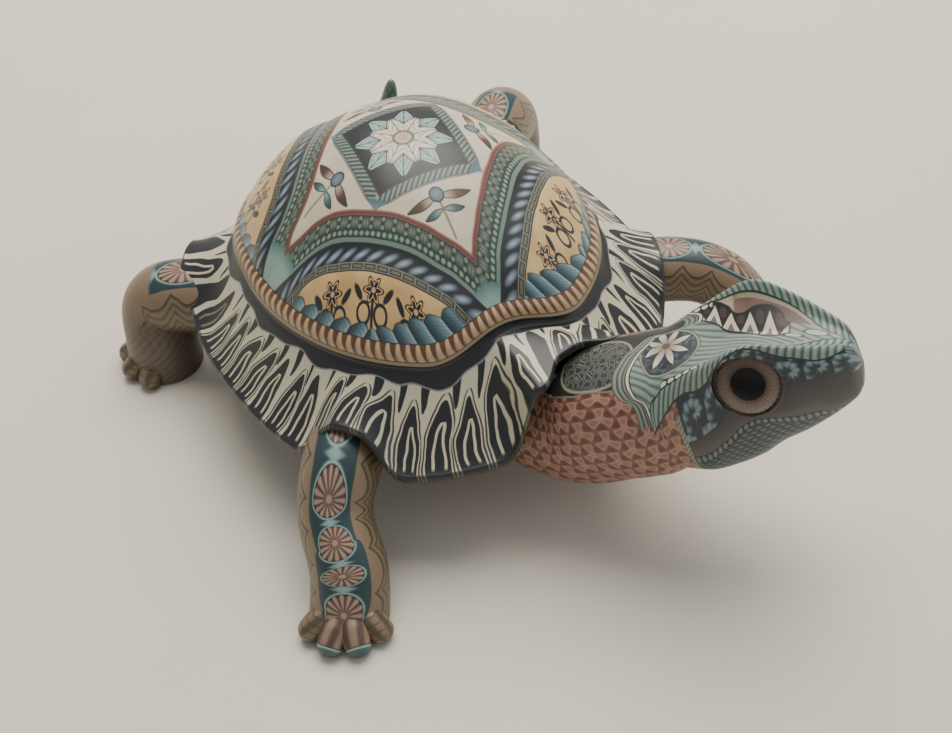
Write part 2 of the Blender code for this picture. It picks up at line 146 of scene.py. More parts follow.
@dataclass(frozen=True)
class Field:
    """A number that varies over a surface, held by a socket of a material's nodes."""

    tree: bpy.types.NodeTree
    socket: bpy.types.NodeSocket

    def math(self, operation: str, *others: Union["Field", float]) -> "Field":
        """Work out a new field.

        Args:
            operation: the Math node's operation.
            others: the values that follow this one.

        Returns:
            The result.
        """
        node = self.tree.nodes.new("ShaderNodeMath")
        node.operation = operation
        self.tree.links.new(self.socket, node.inputs[0])
        for place, value in enumerate(others, start=1):
            if isinstance(value, Field):
                self.tree.links.new(value.socket, node.inputs[place])
            else:
                node.inputs[place].default_value = value
        return Field(self.tree, node.outputs[0])

    def __add__(self, other: Union["Field", float]) -> "Field":
        """Add."""
        return self.math("ADD", other)

    def __radd__(self, other: float) -> "Field":
        """Add to a number."""
        return self.math("ADD", other)

    def __sub__(self, other: Union["Field", float]) -> "Field":
        """Take away."""
        return self.math("SUBTRACT", other)

    def __rsub__(self, other: float) -> "Field":
        """Take away from a number."""
        return self.math("MULTIPLY_ADD", -1.0, other)

    def __mul__(self, other: Union["Field", float]) -> "Field":
        """Multiply."""
        return self.math("MULTIPLY", other)

    def __rmul__(self, other: float) -> "Field":
        """Multiply a number."""
        return self.math("MULTIPLY", other)

    def __truediv__(self, other: Union["Field", float]) -> "Field":
        """Divide."""
        return self.math("DIVIDE", other)

    def __abs__(self) -> "Field":
        """Drop the sign."""
        return self.math("ABSOLUTE")

    def sin(self) -> "Field":
        """Sine."""
        return self.math("SINE")

    def cos(self) -> "Field":
        """Cosine."""
        return self.math("COSINE")

    def root(self) -> "Field":
        """Square root."""
        return self.math("SQRT")

    def fract(self) -> "Field":
        """Keep what is left past the whole number."""
        return self.math("FRACT")

    def floor(self) -> "Field":
        """Go down to the whole number."""
        return self.math("FLOOR")

    def sign(self) -> "Field":
        """Give -1, 0 or 1."""
        return self.math("SIGN")

    def least(self, other: Union["Field", float]) -> "Field":
        """Take the smaller."""
        return self.math("MINIMUM", other)

    def most(self, other: Union["Field", float]) -> "Field":
        """Take the larger."""
        return self.math("MAXIMUM", other)

    def centred(self, period: float) -> "Field":
        """Repeat with a period, as the distance from the nearest repeat's middle, with its sign."""
        return ((self / period).fract() - 0.5) * period

    def above(self, edge: float, blur: float = 0.12) -> "Field":
        """Give 1 above an edge and 0 below it.

        Args:
            edge: the value where it turns.
            blur: half of the width of the turn.

        Returns:
            A mask from 0 to 1.
        """
        node = self.tree.nodes.new("ShaderNodeMapRange")
        node.interpolation_type = "SMOOTHSTEP"
        self.tree.links.new(self.socket, node.inputs["Value"])
        node.inputs["From Min"].default_value = edge - blur
        node.inputs["From Max"].default_value = edge + blur
        return Field(self.tree, node.outputs[0])

    def below(self, edge: float, blur: float = 0.12) -> "Field":
        """Give 1 below an edge and 0 above it."""
        return 1.0 - self.above(edge, blur)

    def between(self, low: float, high: float, blur: float = 0.12) -> "Field":
        """Give 1 between two edges."""
        return self.above(low, blur) * self.below(high, blur)

    def curve(self, points: Sequence[Pair], smooth: bool = True) -> "Field":
        """Read a drawn curve.

        Args:
            points: the field's values in rising order, each with the height that it gives.
            smooth: whether the curve is rounded between its points.

        Returns:
            The curve's height, level past both ends.
        """
        start, end = points[0][0], points[-1][0]
        low = min(height for _, height in points)
        rise = max(height for _, height in points) - low
        places = [((value - start) / (end - start), (height - low) / rise) for value, height in points]
        node = self.tree.nodes.new("ShaderNodeFloatCurve")
        line = node.mapping.curves[0]
        line.points[0].location = places[0]
        line.points[1].location = places[-1]
        for place in places[1:-1]:
            line.points.new(*place)
        for point in line.points:
            point.handle_type = "AUTO" if smooth else "VECTOR"
        node.mapping.update()
        share = ((self - start) * (1.0 / (end - start))).most(0.0).least(1.0)
        self.tree.links.new(share.socket, node.inputs["Value"])
        return Field(self.tree, node.outputs[0]) * rise + low


def length(x: Field, y: Field) -> Field:
    """Give the distance from the middle."""
    return (x * x + y * y).root()


class Paint:
    """The colour of a surface, laid on in layers."""

    def __init__(self, tree: bpy.types.NodeTree, base: Union[Colour, bpy.types.NodeSocket]) -> None:
        """Start with one colour.

        Args:
            tree: the material's nodes.
            base: the ground colour.
        """
        self.tree = tree
        self.top: Union[Colour, bpy.types.NodeSocket] = base

    def lay(self, colour: Union[Colour, "Paint"], mask: Field) -> "Paint":
        """Lay a colour over what is there.

        Args:
            colour: what is laid on.
            mask: where, from 0 to 1.

        Returns:
            This paint.
        """
        node = self.tree.nodes.new("ShaderNodeMix")
        node.data_type = "RGBA"
        self.tree.links.new(mask.socket, node.inputs[0])
        self.join(self.top, node.inputs[6])
        self.join(colour.top if isinstance(colour, Paint) else colour, node.inputs[7])
        self.top = node.outputs[2]
        return self

    def join(self, colour: Union[Colour, bpy.types.NodeSocket], socket: bpy.types.NodeSocket) -> None:
        """Put a colour into a socket."""
        if isinstance(colour, bpy.types.NodeSocket):
            self.tree.links.new(colour, socket)
        else:
            socket.default_value = (*as_light(colour), 1.0)

    def tint(self, amount: Field) -> None:
        """Make the whole darker or lighter.

        Args:
            amount: the factor, which varies over the surface.
        """
        node = self.tree.nodes.new("ShaderNodeVectorMath")
        node.operation = "SCALE"
        self.tree.links.new(self.top, node.inputs[0])
        self.tree.links.new(amount.socket, node.inputs["Scale"])
        self.top = node.outputs[0]

    def speckle(self, strength: float = 0.10, size: float = 0.5) -> None:
        """Tint the whole by fine grain of a size in millimetres."""
        self.tint((1.0 - strength) + grain(self.tree, size) * (2.0 * strength))


def ramp(value: Field, stops: Sequence[tuple[float, Colour]]) -> Paint:
    """Turn a field into a run of colours.

    Args:
        value: the field, from 0 to 1.
        stops: the place and colour of each step.

    Returns:
        The paint.
    """
    node = value.tree.nodes.new("ShaderNodeValToRGB")
    scale = node.color_ramp.elements
    scale[0].position, scale[0].color = stops[0][0], (*as_light(stops[0][1]), 1.0)
    scale[1].position, scale[1].color = stops[-1][0], (*as_light(stops[-1][1]), 1.0)
    for place, colour in stops[1:-1]:
        scale.new(place).color = (*as_light(colour), 1.0)
    value.tree.links.new(value.socket, node.inputs[0])
    return Paint(value.tree, node.outputs[0])


class Tone(Enum):
    """The clays' colours, as the screen shows them under the studio's light."""

    CREAM = (214, 205, 184)
    WARM_CREAM = (200, 190, 166)
    BLACK = (34, 38, 42)
    SOFT_BLACK = (46, 50, 52)
    MAROON = (112, 66, 58)
    BROWN = (92, 66, 54)
    DARK_BROWN = (58, 46, 40)
    TAN = (180, 150, 116)
    ORANGE = (206, 168, 122)
    OLIVE = (106, 104, 84)
    DARK_GREEN = (48, 64, 60)
    GREEN = (84, 108, 96)
    TEAL = (66, 104, 102)
    DARK_TEAL = (38, 60, 64)
    PALE_TEAL = (152, 184, 176)
    GREY = (126, 134, 132)
    GREY_BLUE = (122, 138, 150)
    BLUE = (70, 100, 112)
    NAVY = (38, 48, 58)
    ROSE = (172, 136, 122)


@dataclass(frozen=True)
class Finish(ABC):
    """A clay or glass finish that can dress a piece."""

    name: str
    roughness: float = 0.42
    coat: float = 0.12
    relief: float = 0.10

    def build(self) -> bpy.types.Material:
        """Make the material.

        Returns:
            The material, with its pattern and its relief.
        """
        material = bpy.data.materials.new(self.name)
        material.use_nodes = True
        tree = material.node_tree
        shader = tree.nodes["Principled BSDF"]
        shader.inputs["Roughness"].default_value = self.roughness
        shader.inputs["Coat Weight"].default_value = self.coat
        shader.inputs["Coat Roughness"].default_value = 0.30
        shader.inputs["IOR"].default_value = 1.5
        colour, height = self.pattern(tree)
        colour.join(colour.top, shader.inputs["Base Color"])
        if height is not None:
            dents = tree.nodes.new("ShaderNodeBump")
            dents.inputs["Strength"].default_value = 0.5
            dents.inputs["Distance"].default_value = self.relief * MM
            tree.links.new(height.socket, dents.inputs["Height"])
            tree.links.new(dents.outputs[0], shader.inputs["Normal"])
        if not isinstance(colour.top, bpy.types.NodeSocket):
            material.diffuse_color = (*as_light(colour.top), 1.0)
        return material

    @abstractmethod
    def pattern(self, tree: bpy.types.NodeTree) -> tuple[Paint, Union[Field, None]]:
        """Draw the pattern.

        Args:
            tree: the material's nodes.

        Returns:
            The colour and the height.
        """


def flow(tree: bpy.types.NodeTree) -> tuple[Field, Field, Field]:
    """Read a piece's own coordinates.

    Args:
        tree: the material's nodes.

    Returns:
        The three numbers that the piece carries.
    """
    node = tree.nodes.new("ShaderNodeAttribute")
    node.attribute_name = "flow"
    parts = tree.nodes.new("ShaderNodeSeparateXYZ")
    tree.links.new(node.outputs["Vector"], parts.inputs[0])
    return Field(tree, parts.outputs[0]), Field(tree, parts.outputs[1]), Field(tree, parts.outputs[2])


def position(tree: bpy.types.NodeTree, centre: Vector) -> tuple[Field, Field, Field]:
    """Read the place on the turtle in millimetres from a centre.

    Args:
        tree: the material's nodes.
        centre: the middle, in millimetres.

    Returns:
        The three coordinates.
    """
    node = tree.nodes.new("ShaderNodeTexCoord")
    turn = tree.nodes.new("ShaderNodeMapping")
    turn.inputs["Scale"].default_value = (1.0 / MM, 1.0 / MM, 1.0 / MM)
    turn.inputs["Location"].default_value = -centre
    tree.links.new(node.outputs["Object"], turn.inputs["Vector"])
    parts = tree.nodes.new("ShaderNodeSeparateXYZ")
    tree.links.new(turn.outputs[0], parts.inputs[0])
    return Field(tree, parts.outputs[0]), Field(tree, parts.outputs[1]), Field(tree, parts.outputs[2])


def grain(tree: bpy.types.NodeTree, size: float, detail: float = 2.0) -> Field:
    """Make an uneven field.

    Args:
        tree: the material's nodes.
        size: how large its cells are, in millimetres.
        detail: how many finer layers it has.

    Returns:
        A field round 0.5.
    """
    node = tree.nodes.new("ShaderNodeTexNoise")
    node.inputs["Scale"].default_value = 1.0 / (size * MM)
    node.inputs["Detail"].default_value = detail
    place = tree.nodes.new("ShaderNodeTexCoord")
    tree.links.new(place.outputs["Object"], node.inputs["Vector"])
    return Field(tree, node.outputs[0])


@dataclass(frozen=True)
class Stand:
    """Where the turtle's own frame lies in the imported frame."""

    shift: Vector

    @classmethod
    def read(cls) -> "Stand":
        """Find the shift from the places of both eyes.

        Returns:
            The stand.
        """
        shift = Vector()
        for node, side in EYES:
            low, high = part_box(node)
            shift += 0.5 * (0.5 * (low + high) / MM - Head().eye_frame(side).translation)
        return cls(Vector((shift.x, shift.y, 0.0)))

    def place(self, point: Vector) -> Vector:
        """Take a point from the turtle's own frame, in millimetres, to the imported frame."""
        return (point + self.shift) * MM


def new_piece(name: str, form: bmesh.types.BMesh, finishes: Sequence[bpy.types.Material]) -> bpy.types.Object:
    """Turn a modelled form into a piece of the scene.

    Args:
        name: the piece's name.
        form: its shape, which is freed.
        finishes: its materials, in their slots' order.

    Returns:
        The piece.
    """
    mesh = bpy.data.meshes.new(name)
    form.to_mesh(mesh)
    form.free()
    for finish in finishes:
        mesh.materials.append(finish)
    piece = bpy.data.objects.new(name, mesh)
    bpy.context.scene.collection.objects.link(piece)
    return piece


def runs_of(sections: Sequence[tuple]) -> list[float]:
    """Add up the way along the middles of some sections.

    Args:
        sections: tuples that start with a section's middle.

    Returns:
        The run at each section, in millimetres.
    """
    runs = [0.0]
    for before, after in zip(sections, sections[1:]):
        runs.append(runs[-1] + (after[0] - before[0]).length)
    return runs


class Ball:
    """A closed form: a ball whose rings and turns are moved to where the form has them."""

    def __init__(self, name: str, around: int, rings: int) -> None:
        """Start with the ball.

        Args:
            name: the piece's name.
            around: how many turns a ring has.
            rings: how many rings there are.
        """
        self.name = name
        self.around = around
        self.rings = rings

    def build(
        self, stand: Stand, place: Callable[[float, float], Vector],
        own: Callable[[float, float], Vector], finishes: Sequence[bpy.types.Material],
        dress: Callable[[float], int] = lambda share: 0, wrap: float = 0.0,
    ) -> bpy.types.Object:
        """Model the form and put it where it belongs.

        Args:
            stand: where the turtle's frame lies.
            place: gives a point for a turn (radians) and a ring's share.
            own: gives the numbers that the pattern reads there.
            finishes: the materials, in their slots' order.
            dress: gives a face's slot from its ring's share.
            wrap: by how much the first of those numbers jumps where a full turn ends.

        Returns:
            The piece.
        """
        form = bmesh.new()
        bmesh.ops.create_uvsphere(form, u_segments=self.around, v_segments=self.rings, radius=1.0)
        seat = {}
        for point in form.verts:
            ring = round(math.acos(max(-1.0, min(1.0, point.co.z))) / math.pi * self.rings)
            turn = math.atan2(point.co.y, point.co.x) if 0 < ring < self.rings else 0.0
            share = ring / self.rings
            seat[point] = (share, own(turn, share), 0 < ring < self.rings)
            point.co = stand.place(place(turn, share))
        layer = form.loops.layers.float_vector.new("flow")
        for face in form.faces:
            seats = [seat[corner.vert] for corner in face.loops]
            face.material_index = dress(sum(share for share, _, _ in seats) / len(seats))
            face.smooth = True
            ring_values = [value.x for _, value, ringed in seats if ringed]
            split = wrap > 0.0 and max(ring_values) - min(ring_values) > 0.5 * wrap
            ring_values = [value + wrap if split and value < 0.0 else value for value in ring_values]
            middle = sum(ring_values) / len(ring_values)
            for corner, (_, value, ringed) in zip(face.loops, seats):
                first = value.x + wrap if split and value.x < 0.0 else value.x
                corner[layer] = (first if ringed else middle, value.y, value.z)
        bmesh.ops.recalc_face_normals(form, faces=form.faces)
        if form.calc_volume(signed=True) < 0.0:
            bmesh.ops.reverse_faces(form, faces=form.faces)
        return new_piece(self.name, form, finishes)


def hand_over(piece: bpy.types.Object, node: str) -> None:
    """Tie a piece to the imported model.

    Args:
        piece: the finished piece.
        node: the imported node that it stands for.
    """
    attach(piece, BODY)
    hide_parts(node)
    LOG.info("%s has %d faces", piece.name, len(piece.data.polygons))


@dataclass(frozen=True)
class Dome:
    """The dome of the shell, with its star and its four lobes."""

    half_length: float = 44.8
    half_width: float = 39.9
    corner: float = 1.3
    top: float = 65.6
    rise: float = 34.0
    fullness: float = 2.1
    swell: float = 1.2
    rope: float = 0.55
    arc: float = 52.0
    seam: float = 0.905
    star: float = 0.78
    stretch: float = 0.92
    twist: float = math.radians(-6.0)
    notches: tuple = ((-3.0, 27.0, 0.080), (177.0, 27.0, 0.050), (-45.0, 65.0, 0.035), (-142.0, 34.0, -0.045))

    @lru_cache(maxsize=None)
    def seam_share(self, angle: float) -> float:
        """Give how far out the seam with the skirt lies."""
        return self.seam - sum(cut * bump(angle, centre, width) for centre, width, cut in self.notches)

    def reach(self, angle: float) -> float:
        """Give the dome's full reach at an angle."""
        squared = self.corner * 0.5 * (1.0 - math.cos(4.0 * angle))
        return oval(angle, self.half_length, self.half_width) + squared

    def point(self, angle: float, share: float) -> Vector:
        """Give a point of the dome.

        Args:
            angle: the way from the crown, in radians.
            share: how far out, as a share of the reach.

        Returns:
            The point.
        """
        reach = share * self.reach(angle)
        spot = Vector((
            reach * math.cos(angle), reach * math.sin(angle), self.top - self.rise * share ** self.fullness))
        turned = Matrix.Rotation(-self.twist, 2) @ Vector((
            spot.x / (self.half_length * self.stretch), spot.y / self.half_width))
        past_star = abs(turned.x) + abs(turned.y) - self.star
        swell = self.swell * ease(past_star / 0.2) * ease((self.seam_share(angle) - share) / 0.16)
        up_rope = ((1.0 - share / self.seam_share(angle)) * self.arc - 0.6) / 3.2
        swell += self.rope * math.sin(math.pi * min(1.0, max(0.0, up_rope)))
        outward = Vector((spot.x, spot.y, spot.z - self.top + self.rise))
        return spot + outward.normalized() * swell


@dataclass(frozen=True)
class Skirt:
    """The thin flared skirt under the dome, with its arches, and the belly."""

    half_length: float = 52.8
    half_width: float = 47.8
    corner: float = 2.6
    height: float = 21.5
    pitch: float = 1.5
    thickness: float = 2.2
    step: float = 0.7
    belly: float = 11.0
    arches: tuple = (
        (5.0, 22.0, 2.0, 17.0, 0.0),
        (5.5, 13.0, 1.0, 0.0, 4.8),
        (-50.0, 16.0, 1.0, 8.8, 3.5),
        (57.0, 20.0, 1.0, 8.0, 0.0),
        (-135.0, 20.0, 1.0, 5.5, -2.0),
        (128.0, 20.0, 1.0, 8.0, -1.0),
        (163.0, 14.0, 1.0, 3.0, 0.0),
        (-162.0, 30.0, 1.0, -3.0, 3.0),
    )

    @lru_cache(maxsize=None)
    def rim(self, angle: float) -> Pair:
        """Give the reach and the height of the outer edge."""
        reach = oval(angle, self.half_length, self.half_width)
        reach += self.corner * 0.5 * (1.0 - math.cos(4.0 * angle))
        height = self.height + self.pitch * math.cos(angle)
        for centre, half_width, shoulders, rise, pull in self.arches:
            hill = ease(shoulders * bump(angle, centre, half_width))
            reach -= pull * hill
            height += rise * hill
        return reach, height


def on_body(shares: Sequence[float]) -> Vector:
    """Place a point by its shares of the skirt's half length, half width and height."""
    return Vector((shares[0] * Skirt.half_length, shares[1] * Skirt.half_width, shares[2] * Skirt.height))


@dataclass(frozen=True)
class Shell:
    """The shell: dome, seam, skirt, rim and belly as one closed form."""

    dome: Dome = Dome()
    skirt: Skirt = Skirt()
    back: float = 1.3
    around: int = 400
    dome_rings: int = 130
    seam_rings: int = 4
    skirt_rings: int = 44
    lip_rings: int = 8
    belly_rings: int = 34

    @property
    def rings(self) -> int:
        """All rings from the crown to the middle of the belly."""
        return self.dome_rings + self.seam_rings + self.skirt_rings + self.lip_rings + self.belly_rings

    def profile(self, turn: float, step: float) -> tuple[Vector, float]:
        """Find a point past the dome.

        Args:
            turn: the way from the crown, in radians.
            step: rings past the dome's last one.

        Returns:
            The point, and how far across the skirt it lies.
        """
        edge = self.dome.point(turn, self.dome.seam_share(turn))
        rim_reach, rim_height = self.skirt.rim(turn)
        seam_reach = edge.xy.length
        start = (seam_reach + 0.6 * self.skirt.step, edge.z - 3.0 * self.skirt.step)
        lip = 0.5 * self.skirt.thickness
        across = 0.0
        if step <= self.seam_rings:
            t = step / self.seam_rings
            dip = 0.7 * self.skirt.step * math.sin(math.pi * t)
            reach = seam_reach + (start[0] - seam_reach) * t - dip
            height = edge.z + (start[1] - edge.z) * t
        elif step <= self.seam_rings + self.skirt_rings:
            across = (step - self.seam_rings) / self.skirt_rings
            reach = start[0] + (rim_reach - 0.5 * lip - start[0]) * across
            height = start[1] + (rim_height + lip - start[1]) * (1.0 - (1.0 - across) ** 1.25)
        elif step <= self.seam_rings + self.skirt_rings + self.lip_rings:
            across = 1.0
            swing = math.pi * (step - self.seam_rings - self.skirt_rings) / self.lip_rings
            reach = rim_reach - 0.5 * lip * (1.0 - math.sin(swing))
            height = rim_height + lip * math.cos(swing)
        else:
            across = 2.0
            under = (
                (rim_reach - 0.5 * lip, rim_height - lip),
                (0.93 * rim_reach, rim_height - lip),
                (0.82 * rim_reach, self.skirt.height - self.skirt.thickness),
                (0.74 * rim_reach, 0.5 * (self.skirt.height + self.skirt.belly)),
                (0.64 * rim_reach, self.skirt.belly + 0.5 * self.skirt.thickness),
                (0.35 * rim_reach, self.skirt.belly),
                (0.0, self.skirt.belly),
            )
            t = (step - self.seam_rings - self.skirt_rings - self.lip_rings) / self.belly_rings
            place = min(t, 1.0) * (len(under) - 1)
            i = min(int(place), len(under) - 2)
            t = place - i
            reach = under[i][0] + (under[i + 1][0] - under[i][0]) * t
            height = under[i][1] + (under[i + 1][1] - under[i][1]) * t
        return Vector((reach * math.cos(turn), reach * math.sin(turn), height)), across

    def place(self, turn: float, share: float) -> Vector:
        """Give a point of the shell."""
        ring = share * self.rings
        if ring <= self.dome_rings:
            spot = self.dome.point(turn, self.dome.seam_share(turn) * ring / self.dome_rings)
        else:
            spot = self.profile(turn, ring - self.dome_rings)[0]
        return spot - Vector((self.back, 0.0, 0.0))

    def own(self, turn: float, share: float) -> Vector:
        """Give share of the dome, rings to and past its seam, and share across the skirt."""
        ring = share * self.rings
        if ring <= self.dome_rings:
            part = ring / self.dome_rings
            return Vector((self.dome.seam_share(turn) * part, part, 0.0))
        past = ring - self.dome_rings
        return Vector((self.dome.seam_share(turn), 1.0 + past / self.seam_rings, self.profile(turn, past)[1]))

    def dress(self, share: float) -> int:
        """Choose the slot: dome, skirt or underside."""
        ring = share * self.rings
        if ring <= self.dome_rings:
            return 0
        return 1 if ring <= self.dome_rings + self.seam_rings + self.skirt_rings + self.lip_rings // 2 else 2

    def build(self, stand: Stand) -> bpy.types.Object:
        """Build and dress the shell."""
        centre = stand.shift - Vector((self.back, 0.0, 0.0))
        finishes = [
            DomeMosaic("dome_mosaic", centre=centre).build(),
            SkirtStripes("skirt_stripes", centre=centre).build(),
            Underside("plain_underside").build(),
        ]
        ball = Ball("patterned_shell", self.around, self.rings)
        piece = ball.build(stand, self.place, self.own, finishes, self.dress)
        hand_over(piece, CLAY_NODE)
        return piece


def petal_ring(
    paint: Paint, radius: Field, angle: Field, count: float, reach: float, turn: float, tone: Tone,
    shade: Tone,
) -> None:
    """Draw a ring of veined petals.

    Args:
        paint: what it is laid on.
        radius: millimetres from the middle.
        angle: the way from the middle.
        count: how many petals.
        reach: how far they go.
        turn: where the first one points.
        tone: their light colour.
        shade: their darker colour.
    """
    part = (((angle + turn) * (count / math.tau)).fract() - 0.5) * (math.tau / count)
    away = part.sin() * radius
    ahead = part.cos() * radius
    body = (ahead * (1.0 / reach)).least(1.0)
    girth = ((body * math.pi).sin().most(0.0)) * (reach * 0.20) + body * 0.3
    inside = girth - abs(away)
    veins = abs((abs(away) * 1.1 + ahead * 0.55).centred(1.15))
    skin = ramp(body, ((0.2, shade), (0.75, tone)))
    skin.lay(Tone.SOFT_BLACK, veins.below(0.10, 0.07) * 0.75)
    skin.lay(Tone.SOFT_BLACK, abs(away).below(0.10, 0.06))
    paint.lay(Tone.BLACK, inside.above(-0.28, 0.1) * ahead.below(reach, 0.15))
    paint.lay(skin, inside.above(0.0, 0.08) * ahead.below(reach - 0.2, 0.15))


@dataclass(frozen=True)
class DomeMosaic(Finish):
    """The dome's inlay: a panel, four pale triangles, a star of rope bands, and four lobes."""

    centre: Vector = field(default_factory=Vector)
    half_length: float = 45.0
    half_width: float = 39.6
    maroon_line: float = 0.577
    star_scale: float = 30.0
    drawn_tips: tuple = (
        (-0.80, 0.150), (-0.73, 0.140), (-0.63, 0.110), (-0.57, 0.080), (-0.50, 0.045), (-0.40, 0.015),
        (-0.30, 0.0), (0.45, 0.0), (0.55, 0.015), (0.68, 0.030))

    def pattern(self, tree: bpy.types.NodeTree) -> tuple[Paint, Union[Field, None]]:
        """Draw the whole dome.

        Args:
            tree: the material's nodes.

        Returns:
            The colour and the height.
        """
        x, y, _ = position(tree, self.centre + Vector((0.5, -0.3, 0.0)))
        _, seam, _ = flow(tree)
        wobble = (grain(tree, 9.0, 1.0) - 0.5) * 0.030
        u, v = self.turned(x / self.half_length, y / self.half_width, math.radians(5.0))
        slant = abs(u) - abs(v)
        star = abs(u) + abs(v) - slant.curve(self.drawn_tips) + wobble
        depth = (star - self.maroon_line) * self.star_scale
        slide = slant * self.star_scale
        outer = (1.0 - seam) * Dome.arc
        angle = (y / self.half_width).math("ARCTAN2", x / self.half_length)
        paint = self.triangles(tree, x, y)
        self.star_bands(paint, depth, slide)
        self.lobes(paint, depth, slant, outer, angle)
        strands = self.rope(paint, outer, angle)
        self.panel(paint, x, y)
        paint.speckle(0.12, 0.35)
        return paint, grain(tree, 2.5) * 0.6 + strands

    def turned(self, x: Field, y: Field, angle: float) -> tuple[Field, Field]:
        """Turn a pair of coordinates back by an angle."""
        c, s = math.cos(angle), math.sin(angle)
        return x * c - y * s, x * s + y * c

    def triangles(self, tree: bpy.types.NodeTree, x: Field, y: Field) -> Paint:
        """Draw the pale triangles, each with a sprig of leaves.

        Args:
            tree: the material's nodes.
            x: millimetres forward.
            y: millimetres to the left.

        Returns:
            The paint.
        """
        p, q = self.turned(x, y, math.radians(8.0))
        ahead = abs(p).most(abs(q))
        aside = abs(p).least(abs(q))
        milky = grain(tree, 6.0, 1.0)
        paint = ramp(milky, ((0.3, Tone.WARM_CREAM), (0.7, Tone.CREAM)))
        stem = aside.below(0.22, 0.12) * ahead.between(13.5, 23.0, 0.3)
        paint.lay(Tone.OLIVE, stem * 0.85)
        for start, reach, tone, tip in (
            (15.0, 6.8, Tone.BROWN, Tone.CREAM), (17.6, 4.2, Tone.TEAL, Tone.PALE_TEAL),
        ):
            lean = ahead - start - aside * 0.32 + aside * aside * 0.03
            girth = (aside * (math.pi / reach)).sin() * (0.78 if reach > 5 else 0.6)
            leaf = (girth - abs(lean)).above(0.08, 0.10) * aside.between(0.1, reach, 0.1)
            blade = ramp(aside * (1.0 / reach), ((0.0, tip), (0.55, tone), (1.0, Tone.DARK_BROWN)))
            edge = (girth - abs(lean)).above(-0.16, 0.12) * aside.between(0.1, reach, 0.1)
            paint.lay(Tone.DARK_GREEN, edge)
            paint.lay(blade, leaf)
        bead = length(aside, ahead - 14.8)
        paint.lay(Tone.NAVY, bead.below(1.55, 0.12))
        paint.lay(ramp(bead * 0.62, ((0.0, Tone.GREY_BLUE), (1.0, Tone.BLUE))), bead.below(1.25, 0.15))
        return paint

    def panel(self, paint: Paint, x: Field, y: Field) -> None:
        """Draw the dark square on the crown with its rope border and a petal rosette.

        Args:
            paint: what it is laid on.
            x: millimetres forward.
            y: millimetres to the left.
        """
        p, q = self.turned(x, y, math.radians(10.0))
        corner = abs(p) + abs(q)
        edge = abs(p).most(abs(q) + 0.5) + corner.above(21.5, 1.2) * 0.5
        run = (q * (abs(p) + 0.5 - abs(q)).above(0.0, 0.05)) + (p * (abs(q) - abs(p) - 0.5).above(0.0, 0.05))
        twist = (run + edge * 0.9).centred(1.2)
        strands = ramp(abs(twist) * 1.6, (
            (0.0, (140, 154, 144)), (0.45, (98, 112, 104)), (0.85, Tone.DARK_GREEN)))
        paint.lay(Tone.SOFT_BLACK, edge.between(9.8, 12.55, 0.14))
        paint.lay(strands, edge.between(10.15, 12.05, 0.12))
        paint.lay(Tone.GREY, edge.between(12.2, 12.45, 0.1))
        paint.lay(Tone.BLACK, edge.below(9.9, 0.12))
        tip = corner.above(20.6, 0.5) * edge.below(12.5, 0.1)
        paint.lay(ramp(corner * 0.1 - 1.95, ((0.1, Tone.BLUE), (0.5, Tone.GREY_BLUE))), tip)
        radius = length(p, q)
        angle = q.math("ARCTAN2", p)
        petal_ring(paint, radius, angle, 8.0, 9.8, 0.0, Tone.PALE_TEAL, Tone.GREY)
        petal_ring(paint, radius, angle, 8.0, 7.2, math.pi / 8.0, Tone.CREAM, Tone.WARM_CREAM)
        paint.lay(Tone.BLACK, radius.below(2.2, 0.12))
        paint.lay(ramp(radius * 0.5, ((0.0, Tone.ROSE), (0.6, Tone.TAN), (1.0, Tone.BROWN))),
                  radius.below(1.9, 0.12))
        dots = length((angle * (12.0 / math.tau)).centred(1.0) * 1.3, radius - 1.3)
        paint.lay(Tone.CREAM, dots.below(0.26, 0.06))

    def star_bands(self, paint: Paint, depth: Field, slide: Field) -> None:
        """Draw the bands along the star's edge, from its maroon line to its mint line.

        Args:
            paint: what they are laid on.
            depth: millimetres outwards from the maroon line.
            slide: millimetres along the star's edge from a lobe's middle.
        """
        paint.lay(Tone.SOFT_BLACK, depth.above(0.45, 0.12))
        paint.lay(Tone.MAROON, depth.between(-0.45, 0.5, 0.14))
        paint.lay(Tone.ROSE, depth.between(-0.5, -0.2, 0.1) * 0.5)
        leaf = length(slide.centred(2.35), (depth - 1.78) * 0.88)
        skin = ramp(leaf, ((0.15, (122, 128, 114)), (0.9, (60, 76, 70))))
        skin.lay(Tone.SOFT_BLACK, abs(slide.centred(2.35)).below(0.07, 0.06) * 0.8)
        paint.lay(skin, leaf.below(1.05, 0.14))
        for level in (1.08, 2.46):
            seed = length((slide + 1.18).centred(2.35), depth - level)
            paint.lay((120, 134, 114), seed.below(0.36, 0.12))
        bead = length(slide.centred(1.18), depth - 3.55)
        paint.lay(Tone.DARK_GREEN, depth.between(2.95, 4.15, 0.1))
        paint.lay(ramp(bead * 2.0, ((0.2, (142, 162, 146)), (1.0, (84, 108, 96)))), bead.below(0.46, 0.1))
        paint.lay(Tone.SOFT_BLACK, depth.between(4.1, 5.2, 0.08))
        paint.lay((106, 128, 118), depth.between(4.28, 5.02, 0.1))
        spike = abs(slide) + depth * 0.5
        tip = spike.above(20.9, 0.3) * depth.between(0.6, 5.1, 0.1)
        paint.lay(ramp((spike - 20.7) * 0.30, ((0.0, Tone.TEAL), (0.7, (132, 162, 152)))), tip)

